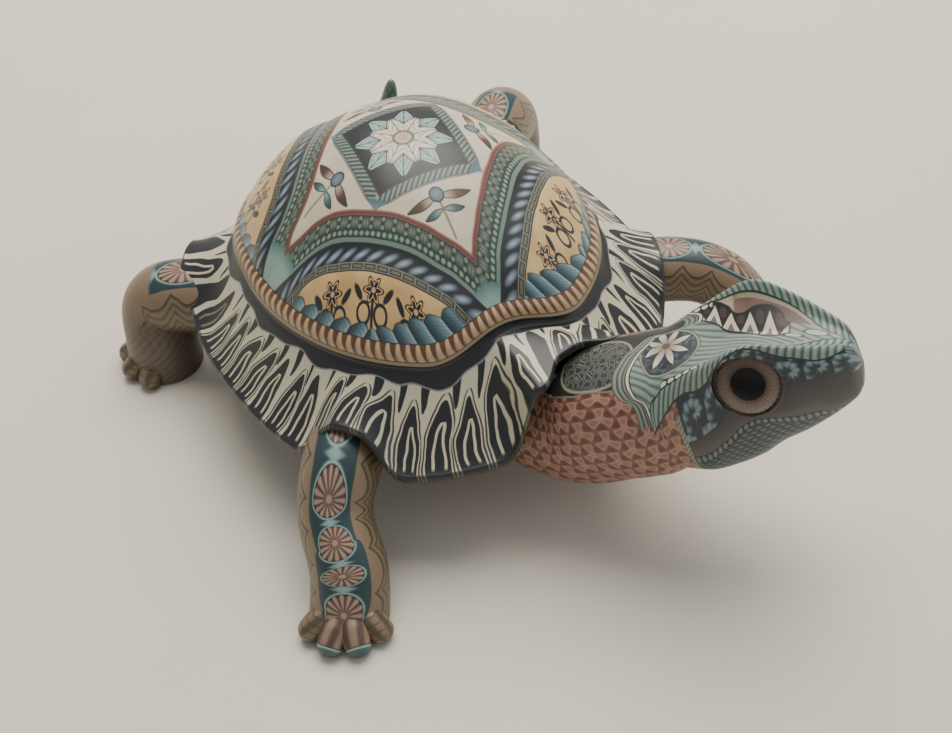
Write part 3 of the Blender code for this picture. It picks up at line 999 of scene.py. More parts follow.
    def lobes(self, paint: Paint, depth: Field, slant: Field, outer: Field, angle: Field) -> None:
        """Draw the lobes outside the star.

        Args:
            paint: what they are laid on.
            depth: millimetres outwards from the maroon line.
            slant: the way along the star's edge, 0 in a lobe's middle.
            outer: millimetres up from the seam.
            angle: the way from the crown.
        """
        slide = slant * self.star_scale
        orange = ramp(grain(paint.tree, 5.0, 1.0), ((0.3, (196, 162, 108)), (0.7, (214, 182, 128))))
        self.scrolls(orange, depth, slide)
        paint.lay(orange, depth.above(10.0, 0.1))
        paint.lay(Tone.BLACK, depth.between(5.15, 8.6, 0.1))
        gem = length((slide + depth * 1.1).centred(2.9) * 0.88, (depth - 7.2) * 0.72)
        paint.lay(ramp(gem, ((0.0, (160, 170, 178)), (0.5, (112, 126, 138)), (1.0, Tone.NAVY))),
                  gem.below(1.10, 0.12))
        brick = abs(slide.centred(2.6))
        paint.lay((116, 120, 108), depth.between(8.5, 9.85, 0.08))
        paint.lay(Tone.SOFT_BLACK, depth.between(8.72, 9.66, 0.07) * brick.below(1.14, 0.07))
        paint.lay(Tone.OLIVE, depth.between(8.95, 9.44, 0.08) * brick.below(0.88, 0.1))
        paint.lay(Tone.SOFT_BLACK, depth.between(9.85, 10.1, 0.07))
        self.feathers(paint, outer, angle, slant, depth)

    def scrolls(self, paint: Paint, depth: Field, slide: Field) -> None:
        """Draw three plain flowers with curled stems and leaves on a lobe's orange field.

        Args:
            paint: the field's paint.
            depth: millimetres outwards from the maroon line.
            slide: millimetres along the star's edge from the lobe's middle.
        """
        for centre, middle in ((0.0, 12.6), (8.6, 13.3)):
            p = (abs(slide) - centre) if centre else slide
            head = length(p, depth - middle)
            angle = (depth - middle).math("ARCTAN2", p)
            frill = head - (angle * 6.0).cos() * 0.46
            paint.lay(Tone.BLACK, abs(p).below(0.28, 0.08) * depth.between(middle, middle + 5.0, 0.2))
            curl = abs(length(abs(p) - 1.75, depth - middle - 3.0) - 1.25)
            paint.lay(Tone.BLACK, curl.below(0.24, 0.08))
            leaf = length((abs(p) - 3.3) * 0.8 + (depth - middle) * 0.5, (depth - middle - 0.4) * 0.45)
            paint.lay(Tone.BLACK, leaf.below(0.52, 0.1))
            paint.lay(Tone.BLACK, frill.below(1.75, 0.1))
            paint.lay(Tone.ORANGE, abs(frill - 1.25).below(0.16, 0.08))
            paint.lay(Tone.ORANGE, head.below(0.42, 0.1))

    def feathers(self, paint: Paint, outer: Field, angle: Field, slant: Field, depth: Field) -> None:
        """Draw the blue ribbon of overlapping feathers along a lobe's outer side.

        Args:
            paint: what it is laid on.
            outer: millimetres up from the seam.
            angle: the way from the crown.
            slant: the way along the star's edge, 0 in a lobe's middle.
            depth: millimetres outwards from the maroon line.
        """
        block = (angle * (58.0 / math.tau) + slant.sign() * outer * 0.15).fract()
        top = slant.above(0.2, 0.15) * 2.2 + (block * math.pi).sin() * 1.2 + 5.1
        barb = ((outer + block * 2.4) / 0.85).fract()
        shade = ramp(block, (
            (0.0, (34, 50, 60)), (0.35, (62, 92, 104)), (0.78, (118, 148, 158)), (0.93, (160, 184, 190)),
            (1.0, (40, 60, 70))))
        shade.lay(Tone.NAVY, barb.below(0.22, 0.12) * 0.35)
        lobe = outer.above(3.7, 0.12) * depth.above(10.0, 0.25)
        paint.lay(Tone.DARK_TEAL, (top - outer).above(-0.3, 0.2) * lobe)
        paint.lay(shade, (top - outer).above(0.0, 0.2) * lobe)

    def rope(self, paint: Paint, outer: Field, angle: Field) -> Field:
        """Draw the tan rope of curved strands along the seam.

        Args:
            paint: what it is laid on.
            outer: millimetres up from the seam.
            angle: the way from the crown.

        Returns:
            The strands' height.
        """
        rise = (outer - 0.7) * (1.0 / 2.9)
        strand = (angle * (112.0 / math.tau) + rise * 0.75 - rise * rise * 0.45).fract()
        ridge = 0.5 - abs(strand - 0.5)
        groove = 1.0 - (ridge - rise.most(0.0) * 0.27).above(0.06, 0.05)
        inside = outer.between(0.7, 3.6, 0.1)
        tan = ramp(strand, ((0.1, (140, 114, 88)), (0.5, (196, 166, 128)), (0.9, (166, 138, 108))))
        tan.lay((92, 64, 46), groove)
        paint.lay(Tone.DARK_BROWN, outer.below(3.8, 0.1))
        paint.lay((146, 130, 108), outer.below(0.55, 0.1))
        paint.lay(tan, inside)
        return inside * (1.0 - groove) * 1.5


@dataclass(frozen=True)
class SkirtStripes(Finish):
    """The skirt's nested dark flames on a pale ground, below a dark wavy band."""

    centre: Vector = field(default_factory=Vector)
    repeats: float = 50.0

    def pattern(self, tree: bpy.types.NodeTree) -> tuple[Paint, Union[Field, None]]:
        """Draw the skirt.

        Args:
            tree: the material's nodes.

        Returns:
            The colour and the height.
        """
        x, y, _ = position(tree, self.centre)
        _, _, across = flow(tree)
        angle = y.math("ARCTAN2", x)
        drift = (grain(tree, 16.0, 1.0) - 0.5) * 1.1
        fine = (grain(tree, 4.5, 1.0) - 0.5) * 0.14
        turn = angle * (self.repeats / math.tau) + across * 0.55 + drift + fine
        cell = (turn.floor() * (1.0 / self.repeats)).fract() * self.repeats + 0.5
        chance = ((cell.floor() * 12.9898).sin() * 43.7585).fract()
        place = turn.fract() - 0.5 + (0.9 - across) * 0.24 * (chance * math.tau).sin()
        top = 0.13 + chance * 0.16
        ground = (198, 193, 168)
        paint = Paint(tree, ground)
        line = self.hairpin(place, across - top + 0.06, 0.45, 0.40)
        shown = chance.above(0.45, 0.02) * (across - top + 0.06).above(0.0, 0.01)
        paint.lay((60, 62, 60), abs(line).below(0.032, 0.014) * shown)
        flame = self.hairpin(place, across - top, 0.375, 0.36)
        paint.lay(Tone.BLACK, flame.above(0.0, 0.018))
        vein = self.hairpin(place - 0.04, across - top - 0.20, 0.17, 0.34)
        vein_line = abs(vein).below(0.042, 0.014) * (across - top - 0.20).above(0.0, 0.01)
        paint.lay(ground, vein_line * chance.above(0.3, 0.02) * across.below(0.94, 0.03))
        hook = self.hairpin((turn + 0.5).fract() - 0.5, 0.36 - across, 0.17, 0.26)
        paint.lay(Tone.BLACK, hook.above(0.0, 0.018) * chance.above(0.4, 0.02))
        wavy = across - (angle * 11.0).sin() * 0.035 - (angle * 27.0 + 1.0).sin() * 0.022 - fine * 0.3
        paint.lay(Tone.GREY, wavy.below(0.108, 0.008))
        paint.lay(Tone.BLACK, wavy.below(0.092, 0.008))
        paint.lay(Tone.BLACK, across.above(0.99, 0.006) * 0.8)
        paint.speckle()
        return paint, grain(tree, 2.0, 3.0)

    def hairpin(self, place: Field, rise: Field, girth: float, taper: float) -> Field:
        """Give the inside distance of a flame that is pointed at the top and wide at the rim.

        Args:
            place: the way across the repeat, 0 in its middle.
            rise: how far below the flame's tip.
            girth: its half width at the rim.
            taper: how quickly it widens.

        Returns:
            A field above 0 inside.
        """
        widen = (rise.most(0.0) * (1.0 / taper)).least(1.0).root() * girth
        return widen - abs(place) - rise.below(0.0, 0.005) * 0.2


@dataclass(frozen=True)
class Underside(Finish):
    """The plain dark clay under the skirt and the belly."""

    def pattern(self, tree: bpy.types.NodeTree) -> tuple[Paint, Union[Field, None]]:
        """Draw a slightly uneven dark ground."""
        paint = ramp(grain(tree, 7.0, 3.0), ((0.3, (58, 50, 46)), (0.7, (84, 74, 66))))
        return paint, grain(tree, 3.0, 3.0)


@dataclass(frozen=True)
class Limb(ABC):
    """A round limb along a smooth path."""

    name: str
    path: tuple
    girths: tuple
    radius: float
    around: int = 112
    rings: int = 120

    @abstractmethod
    def side(self) -> Vector:
        """Give the way that the sections' sideways axis keeps to."""

    @abstractmethod
    def finish(self) -> bpy.types.Material:
        """Give the limb's material."""

    def points(self) -> list[Vector]:
        """Give the path's points in the turtle's frame."""
        return [on_body(shares) for shares in self.path]

    def section(self, share: float) -> tuple[Vector, Vector, Vector, float]:
        """Find a section.

        Args:
            share: how far along the path, from 0 to 1.

        Returns:
            Its middle, sideways axis, inward axis and girth.
        """
        points = self.points()
        girths = [(girth,) for girth in self.girths]
        middle = Vector(along(points, share))
        ahead = Vector(along(points, min(1.0, share + 0.02))) - Vector(along(points, max(0.0, share - 0.02)))
        rise = self.side().cross(ahead).normalized()
        across = ahead.cross(rise).normalized()
        return middle, across, rise, self.radius * along(girths, share)[0]

    def build(self, stand: Stand) -> bpy.types.Object:
        """Build and dress the limb."""
        sections = [self.section(i / self.rings) for i in range(self.rings + 1)]
        runs = runs_of(sections)

        def place(turn: float, share: float) -> Vector:
            """Give a point of the limb."""
            middle, across, rise, girth = sections[round(share * self.rings)]
            close = self.close(share)
            return middle + (across * math.cos(turn) + rise * math.sin(turn)) * (girth * close)

        def own(turn: float, share: float) -> Vector:
            """Give millimetres round from the front line, millimetres along, and the share."""
            ring = round(share * self.rings)
            return Vector((math.remainder(turn + 0.5 * math.pi, math.tau) * self.radius, runs[ring], share))

        ball = Ball(self.name, self.around, self.rings)
        piece = ball.build(stand, place, own, [self.finish()], wrap=math.tau * self.radius)
        hand_over(piece, CLAY_NODE)
        return piece

    def close(self, share: float) -> float:
        """Round the ends off."""
        tip = min(1.0, 14.0 * min(share, 1.0 - share))
        return math.sqrt(max(0.0, 1.0 - (1.0 - tip) ** 2))


@dataclass(frozen=True)
class Leg(Limb):
    """A leg with its foot and four toes."""

    heading: float = 0.0
    cells: tuple = ()
    toe_reach: float = 11.3
    toe_radius: float = 2.7
    toe_spread: float = 38.0
    dark: float = 0.0
    sole: float = 0.96

    def side(self) -> Vector:
        """Give the leg's left."""
        bearing = math.radians(self.heading)
        return Vector((-math.sin(bearing), math.cos(bearing), 0.0))

    def close(self, share: float) -> float:
        """Round the hidden end, and turn the sole in flat."""
        if share > 0.5:
            return 1.0 if share < 0.999 else 0.0
        return super().close(share)

    def section(self, share: float) -> tuple[Vector, Vector, Vector, float]:
        """Find a section; the last ones lie flat on the floor."""
        middle, across, rise, girth = super().section(min(1.0, share / self.sole))
        if share > self.sole:
            girth *= (1.0 - share) / (1.0 - self.sole)
        return middle, across, rise, girth

    def finish(self) -> bpy.types.Material:
        """Give the leg's rosette strip on tan."""
        return LegPanels(f"{self.name}_panels", cells=self.cells, dark=self.dark).build()

    def build(self, stand: Stand) -> bpy.types.Object:
        """Build the leg and its toes."""
        piece = super().build(stand)
        self.flatten(piece)
        outer = ToeSkin(f"{self.name}_outer_toes", dark=True).build()
        inner = ToeSkin(f"{self.name}_middle_toes", dark=bool(self.dark)).build()
        foot = self.points()[-1]
        for number, skin in enumerate((outer, inner, inner, outer)):
            way = math.radians(self.heading + (number - 1.5) * self.toe_spread)
            toe = Toe(f"{self.name}_toe_{number + 1}", foot, way, self.toe_reach, self.toe_radius)
            self.flatten(toe.build(stand, skin))
        return piece

    def flatten(self, piece: bpy.types.Object) -> None:
        """Press all that is below the floor up to it, so that the sole is flat."""
        for point in piece.data.vertices:
            point.co.z = max(point.co.z, 0.0)


@dataclass(frozen=True)
class Toe:
    """A tapered toe that slopes from the ankle down to its rounded tip."""

    name: str
    foot: Vector
    way: float
    reach: float
    radius: float
    around: int = 32
    rings: int = 40
    sizes: tuple = (0.95, 1.09, 1.07, 1.0, 0.84)
    root_over: float = 0.10
    tip_over: float = 0.08
    tip_start: float = 0.86

    def build(self, stand: Stand, skin: bpy.types.Material) -> bpy.types.Object:
        """Build and dress the toe."""
        out = Vector((math.cos(self.way), math.sin(self.way), 0.0))
        aside = Vector((-out.y, out.x, 0.0))
        root = self.foot + out * (0.35 * self.reach) + Vector((0.0, 0.0, 1.7 * self.radius))
        tip = self.foot + out * (self.reach - 0.5 * self.radius) + Vector((0.0, 0.0, 0.45 * self.radius))
        rise = aside.cross(tip - root).normalized()
        sizes = [(size,) for size in self.sizes]

        def place(turn: float, share: float) -> Vector:
            """Give a point of the toe."""
            step = share * (1.0 + self.root_over + self.tip_over) - self.root_over
            girth = self.radius * along(sizes, min(1.0, max(0.0, step)))[0]
            before = max(0.0, -step / self.root_over)
            past = max(0.0, (step - self.tip_start) / (1.0 + self.tip_over - self.tip_start))
            girth *= math.sqrt(max(0.0, 1.0 - before ** 2) * max(0.0, 1.0 - past ** 2))
            return root + (tip - root) * step + (aside * math.cos(turn) + rise * math.sin(turn)) * girth

        def own(turn: float, share: float) -> Vector:
            """Give millimetres round and along, and the share."""
            round_mm = math.remainder(turn + 0.5 * math.pi, math.tau) * self.radius
            return Vector((round_mm, share * self.reach, share))

        ball = Ball(self.name, self.around, self.rings)
        piece = ball.build(stand, place, own, [skin], wrap=math.tau * self.radius)
        hand_over(piece, CLAY_NODE)
        return piece


@dataclass(frozen=True)
class LegPanels(Finish):
    """A teal strip of framed rosettes down the leg's front, and waved lines on tan beside it."""

    cells: tuple = ()
    half_strip: float = 4.1
    dark: float = 0.0

    def pattern(self, tree: bpy.types.NodeTree) -> tuple[Paint, Union[Field, None]]:
        """Draw the leg.

        Args:
            tree: the material's nodes.

        Returns:
            The colour and the height.
        """
        round_mm, run, _ = flow(tree)
        uneven = (grain(tree, 4.0, 1.0) - 0.5) * 1.2
        foot = self.cells[-1]
        half = run.curve(((foot - 16.0, self.half_strip), (foot - 11.0, 5.4), (foot - 5.0, 4.4)))
        beside = abs(round_mm + uneven * 0.3) - half
        peaks = 0.5 - abs(((run + uneven) * (math.tau / 12.0)).sin())
        level = beside - 2.5 + peaks * 2.6
        rings = (level * (1.0 / 1.9) + uneven * 0.3).fract()
        lines = ramp(rings, (
            (0.0, (64, 58, 44)), (0.14, (90, 80, 62)), (0.5, (126, 110, 86)), (0.86, (104, 92, 72)),
            (1.0, (64, 58, 44))))
        paint = Paint(tree, (126, 108, 86))
        paint.lay(lines, level.above(0.0, 0.15))
        paint.lay((64, 60, 44), abs(level).below(0.24, 0.12))
        paint.lay(Tone.DARK_BROWN, beside.above(9.5, 1.5) * 0.6)
        strip = self.strip(round_mm, run, half)
        shown = run.below(self.dark, 0.4) if self.dark else run.below(foot + 20.0, 1.0)
        paint.lay(Tone.DARK_TEAL, beside.below(0.25, 0.15) * shown)
        paint.lay(strip, beside.below(-0.25, 0.15) * shown)
        if self.dark:
            lines = ((run * 0.8 + round_mm * 0.6) / 1.3).fract()
            taupe = ramp(lines, ((0.0, (64, 57, 50)), (0.3, (96, 85, 75)), (0.9, (84, 73, 65))))
            paint.lay(taupe, run.above(self.dark + 7.0, 4.0) * 0.9)
        paint.speckle()
        return paint, grain(tree, 1.8, 3.0) + beside.below(0.0, 0.4) * shown * 0.7

    def strip(self, round_mm: Field, run: Field, half: Field) -> Paint:
        """Draw the strip's rosettes in their frames.

        Args:
            round_mm: millimetres from the strip's middle line.
            run: millimetres along the leg.
            half: half of the strip's width.

        Returns:
            The strip's paint.
        """
        cell = run.curve([(edge, i) for i, edge in enumerate(self.cells)], smooth=False) * 0.9999
        q = cell.fract() * 2.0 - 1.0
        p = round_mm / (half - 0.35)
        radius = length(p, q * 1.08)
        angle = q.math("ARCTAN2", p)
        paint = ramp(radius, (
            (0.86, Tone.DARK_TEAL), (0.91, (142, 172, 166)), (0.97, Tone.TEAL),
            (1.0, Tone.DARK_TEAL)))
        bow = (abs(q) - abs(p) * 0.22).above(0.86, 0.05)
        paint.lay((142, 172, 166), bow * abs(p).below(0.45, 0.35) * 0.8)
        petal = (angle * 15.0).cos() * 0.5 + 0.5
        shade = ramp(petal, ((0.08, (80, 64, 58)), (0.35, (122, 98, 88)), (0.8, (160, 134, 118))))
        shade.lay((104, 76, 68), radius.below(0.34, 0.12) * 0.7)
        shade.lay((168, 136, 122), radius.below(0.15, 0.05))
        paint.lay(Tone.DARK_BROWN, radius.below(0.88, 0.03))
        paint.lay(shade, (radius - petal * 0.07).below(0.79, 0.025))
        return paint


@dataclass(frozen=True)
class ToeSkin(Finish):
    """A toe's tan sides and petals; a light one has a teal tip."""

    dark: bool = False

    def pattern(self, tree: bpy.types.NodeTree) -> tuple[Paint, Union[Field, None]]:
        """Draw the toe."""
        round_mm, run, share = flow(tree)
        petal = (round_mm * 2.1 + share * 2.0).cos() * 0.5 + 0.5
        if self.dark:
            paint = ramp(petal, ((0.15, (84, 74, 58)), (0.8, (124, 108, 84))))
            paint.lay((66, 60, 44), abs((run + abs(round_mm) * 0.6).centred(2.4)).below(0.22, 0.14) * 0.7)
        else:
            paint = ramp(petal, ((0.15, (82, 64, 56)), (0.8, (140, 116, 98))))
            paint.lay(Tone.DARK_BROWN, share.above(0.74, 0.03))
            paint.lay(Tone.PALE_TEAL, share.above(0.77, 0.02))
            paint.lay(ramp(share, ((0.80, Tone.TEAL), (1.0, Tone.DARK_TEAL))), share.above(0.81, 0.03))
        paint.lay((58, 50, 42), abs(round_mm).above(4.4, 0.8) * 0.85)
        paint.speckle()
        return paint, grain(tree, 1.2, 2.0)


@dataclass(frozen=True)
class Tail(Limb):
    """The small curled tail."""

    def side(self) -> Vector:
        """Give the way across the curl."""
        return Vector((0.7, 0.7, 0.0))

    def finish(self) -> bpy.types.Material:
        """Give the tail's ringed finish."""
        return TailSkin("tail_skin").build()

    def close(self, share: float) -> float:
        """Round the root and run out to the tip."""
        start = min(1.0, 14.0 * share)
        end = min(1.0, 10.0 * (1.0 - share))
        return math.sqrt(max(0.0, 1.0 - (1.0 - start) ** 2)) * math.sqrt(max(0.0, 1.0 - (1.0 - end) ** 2))


@dataclass(frozen=True)
class TailSkin(Finish):
    """Olive and teal rings along the tail."""

    def pattern(self, tree: bpy.types.NodeTree) -> tuple[Paint, Union[Field, None]]:
        """Draw the tail."""
        round_mm, run, _ = flow(tree)
        zig = run + abs(round_mm.centred(5.6)) * 0.7
        rings = (zig * (1.0 / 3.1)).fract()
        paint = ramp(rings, (
            (0.0, Tone.DARK_TEAL), (0.18, Tone.GREEN), (0.42, Tone.OLIVE), (0.7, Tone.TAN),
            (0.9, Tone.OLIVE)))
        paint.lay(Tone.TEAL, run.above(37.0, 1.0) * 0.7)
        return paint, grain(tree, 1.5, 2.0)


@dataclass(frozen=True)
class Head:
    """The thick neck and the raised head: hollowed crown, rope brows, cheeks, beak and jaw."""

    place_shares: tuple = (1.402, 0.586, 1.930)
    turn: float = math.radians(43.0)
    lift: float = math.radians(18.0)
    neck_radius: float = 13.8
    neck_sag: float = 1.1
    neck_path: tuple = (
        (0.227, -0.251, 1.256), (0.549, -0.052, 1.093), (0.867, 0.113, 1.023), (1.066, 0.236, 1.349))
    ring_angles: tuple = (0, 24, 44, 68, 95, 125, 152, 180)
    sections: tuple = (
        (-16, ((0, 10.6), (5.4, 9.5), (9.2, 7.0), (12.2, 2.7), (13.3, -3.8),
         (11.4, -10.6), (6.6, -15.4), (0, -17.2))),
        (-10, ((0, 11.0), (5.8, 11.1), (9.1, 10.9), (11.8, 5.8), (13.1, -2.4),
         (12.6, -9.6), (8.4, -14.8), (0, -16.6))),
        (-5, ((0, 11.4), (6.0, 12.9), (9.3, 13.6), (10.8, 8.4), (12.5, 0.4),
         (12.7, -5.6), (9.0, -13.2), (0, -15.0))),
        (0, ((0, 12.0), (6.1, 14.8), (9.0, 16.4), (9.9, 11.0), (11.5, 3.0),
         (12.0, -1.9), (9.0, -10.9), (0, -12.8))),
        (4, ((0, 12.0), (5.6, 14.9), (8.4, 17.1), (9.4, 12.0), (10.8, 3.8),
         (11.0, -0.8), (8.0, -8.9), (0, -10.8))),
        (9, ((0, 11.3), (4.6, 12.9), (7.0, 14.7), (8.4, 11.0), (9.4, 4.2),
         (9.1, -2.6), (6.8, -7.4), (0, -9.1))),
        (14, ((0, 9.9), (2.9, 10.5), (4.9, 11.8), (6.4, 9.2), (6.9, 3.5), (6.3, -3.3), (4.6, -6.0), (0, -7.1))),
        (18, ((0, 8.4), (1.5, 8.5), (2.7, 9.2), (3.9, 7.6), (4.3, 3.0), (3.8, -2.8), (2.7, -4.1), (0, -4.7))),
        (19.4, ((0, 6.6), (0.8, 6.6), (1.4, 6.9), (2.1, 5.6), (2.4, 2.0), (2.0, -1.9), (1.4, -2.6), (0, -3.0))),
    )
    nose: Pair = (20.2, 2.1)
    eye_forward: float = 1.5
    eye_out: float = 9.2
    eye_up: float = 8.5
    eye_tilt: float = math.radians(25.0)
    around: int = 224
    neck_steps: int = 60
    head_steps: int = 150

    def axes(self) -> tuple[Vector, Vector, Vector]:
        """Give the head's own forward, left and up."""
        forward = Vector((
            math.cos(self.lift) * math.cos(self.turn), math.cos(self.lift) * math.sin(self.turn),
            math.sin(self.lift)))
        left = Vector((-math.sin(self.turn), math.cos(self.turn), 0.0))
        return forward, left, forward.cross(left)

    def eye_frame(self, side: int) -> Matrix:
        """Give the place and turn of an eye, whose own +Z looks out; side is 1 for the left."""
        forward, left, up = self.axes()
        middle = on_body(self.place_shares) + forward * self.eye_forward + left * (side * self.eye_out)
        middle += up * self.eye_up
        look = (left * (side * math.cos(self.eye_tilt)) + up * math.sin(self.eye_tilt)).normalized()
        turn = Matrix((forward, look.cross(forward), look)).transposed().to_4x4()
        return Matrix.Translation(middle) @ turn

    def stations(self) -> list[tuple[Vector, Vector, Vector, tuple, float]]:
        """List the sections from inside the shell to the nose.

        Returns:
            Middle, left, up, half outline and the distance along the head's own axis.
        """
        forward, left, up = self.axes()
        ring = tuple(
            (self.neck_radius * math.sin(math.radians(a)), self.neck_radius * math.cos(math.radians(a)))
            for a in self.ring_angles)
        ring = tuple((out, height if height > 0 else height * self.neck_sag) for out, height in ring)
        back = self.sections[0]
        sunk = 0.5 * (back[1][0][1] + back[1][-1][1])
        head = on_body(self.place_shares)
        path = [on_body(shares) for shares in self.neck_path] + [head + forward * back[0] + up * sunk]
        found = []
        last = 2 * len(self.neck_path) - 1
        for i in range(self.neck_steps):
            share = i / self.neck_steps
            ahead = Vector(along(path, share + 0.02)) - Vector(along(path, max(0.0, share - 0.02)))
            aside = Vector((-ahead.y, ahead.x, 0.0)).normalized().lerp(left, share).normalized()
            blend = ease(share * (last + 1) - last)
            outline = tuple(
                tuple(a + (b - a) * blend for a, b in zip(of_neck, of_head))
                for of_neck, of_head in zip(ring, self.outline(0.0, sunk)))
            middle = Vector(along(path, share))
            distance = (share - 1.0) * self.neck_steps + back[0]
            found.append((middle, aside, ahead.cross(aside).normalized(), outline, distance))
        for i in range(self.head_steps + 1):
            share = i / self.head_steps
            distance = along([(row[0],) for row in self.sections], share)[0]
            found.append((head + forward * distance, left, up, self.outline(share, 0.0), distance))
        return found

    def outline(self, share: float, sunk: float) -> tuple:
        """Give the head's half outline at a share of its sections, seen from a sunk middle."""
        rows = [row[1] for row in self.sections]
        points = [along([row[k] for row in rows], share) for k in range(len(self.ring_angles))]
        return tuple((out, height - sunk) for out, height in points)

    def build(self, stand: Stand) -> bpy.types.Object:
        """Build and dress neck and head."""
        stations = self.stations()
        forward, _, up = self.axes()
        nose = on_body(self.place_shares) + forward * self.nose[0] + up * self.nose[1]
        rings = len(stations) + 1
        runs = runs_of(stations)

        def place(turn: float, share: float) -> Vector:
            """Give a point of neck and head."""
            ring = round(share * rings)
            if ring == 0:
                return stations[0][0] - forward * (0.5 * self.neck_radius)
            if ring == rings:
                return nose
            middle, left, up_here, outline, _ = stations[ring - 1]
            out, height = along(outline, abs(turn) / math.pi)
            return middle + left * math.copysign(out, turn) + up_here * height

        def own(turn: float, share: float) -> Vector:
            """Give the outline's place (0 crown, 7 throat), the neck's run and the head's own distance."""
            ring = min(max(round(share * rings) - 1, 0), len(stations) - 1)
            k = abs(math.remainder(turn, math.tau)) / math.pi * (len(self.ring_angles) - 1)
            return Vector((k, runs[ring], stations[ring][4]))

        skin = HeadSkin("neck_and_head_inlay", head=self, stand=stand).build()
        finishes = [skin, Lid("socket_clay").build()]
        piece = Ball("neck_and_head", self.around, rings).build(stand, place, own, finishes)
        self.cut_sockets(piece, stand, finishes[1])
        hand_over(piece, CLAY_NODE)
        return piece

    def cut_sockets(self, piece: bpy.types.Object, stand: Stand, clay: bpy.types.Material) -> None:
        """Cut a round socket for each eye.

        Args:
            piece: the head.
            stand: where the turtle's frame lies.
            clay: the sockets' material, in the head's second slot.
        """
        for name, side in EYES:
            cutter = Eye(name, side).socket(stand, clay)
            cut = piece.modifiers.new("socket", "BOOLEAN")
            cut.operation = "DIFFERENCE"
            cut.solver = "EXACT"
            cut.material_mode = "INDEX"
            cut.object = cutter
            graph = bpy.context.evaluated_depsgraph_get()
            ready = piece.evaluated_get(graph)
            mesh = bpy.data.meshes.new_from_object(ready, preserve_all_data_layers=True, depsgraph=graph)
            piece.modifiers.clear()
            before = piece.data
            piece.data = mesh
            bpy.data.meshes.remove(before)
            bpy.data.objects.remove(cutter)
        piece.data.set_sharp_from_angle(angle=math.radians(60))


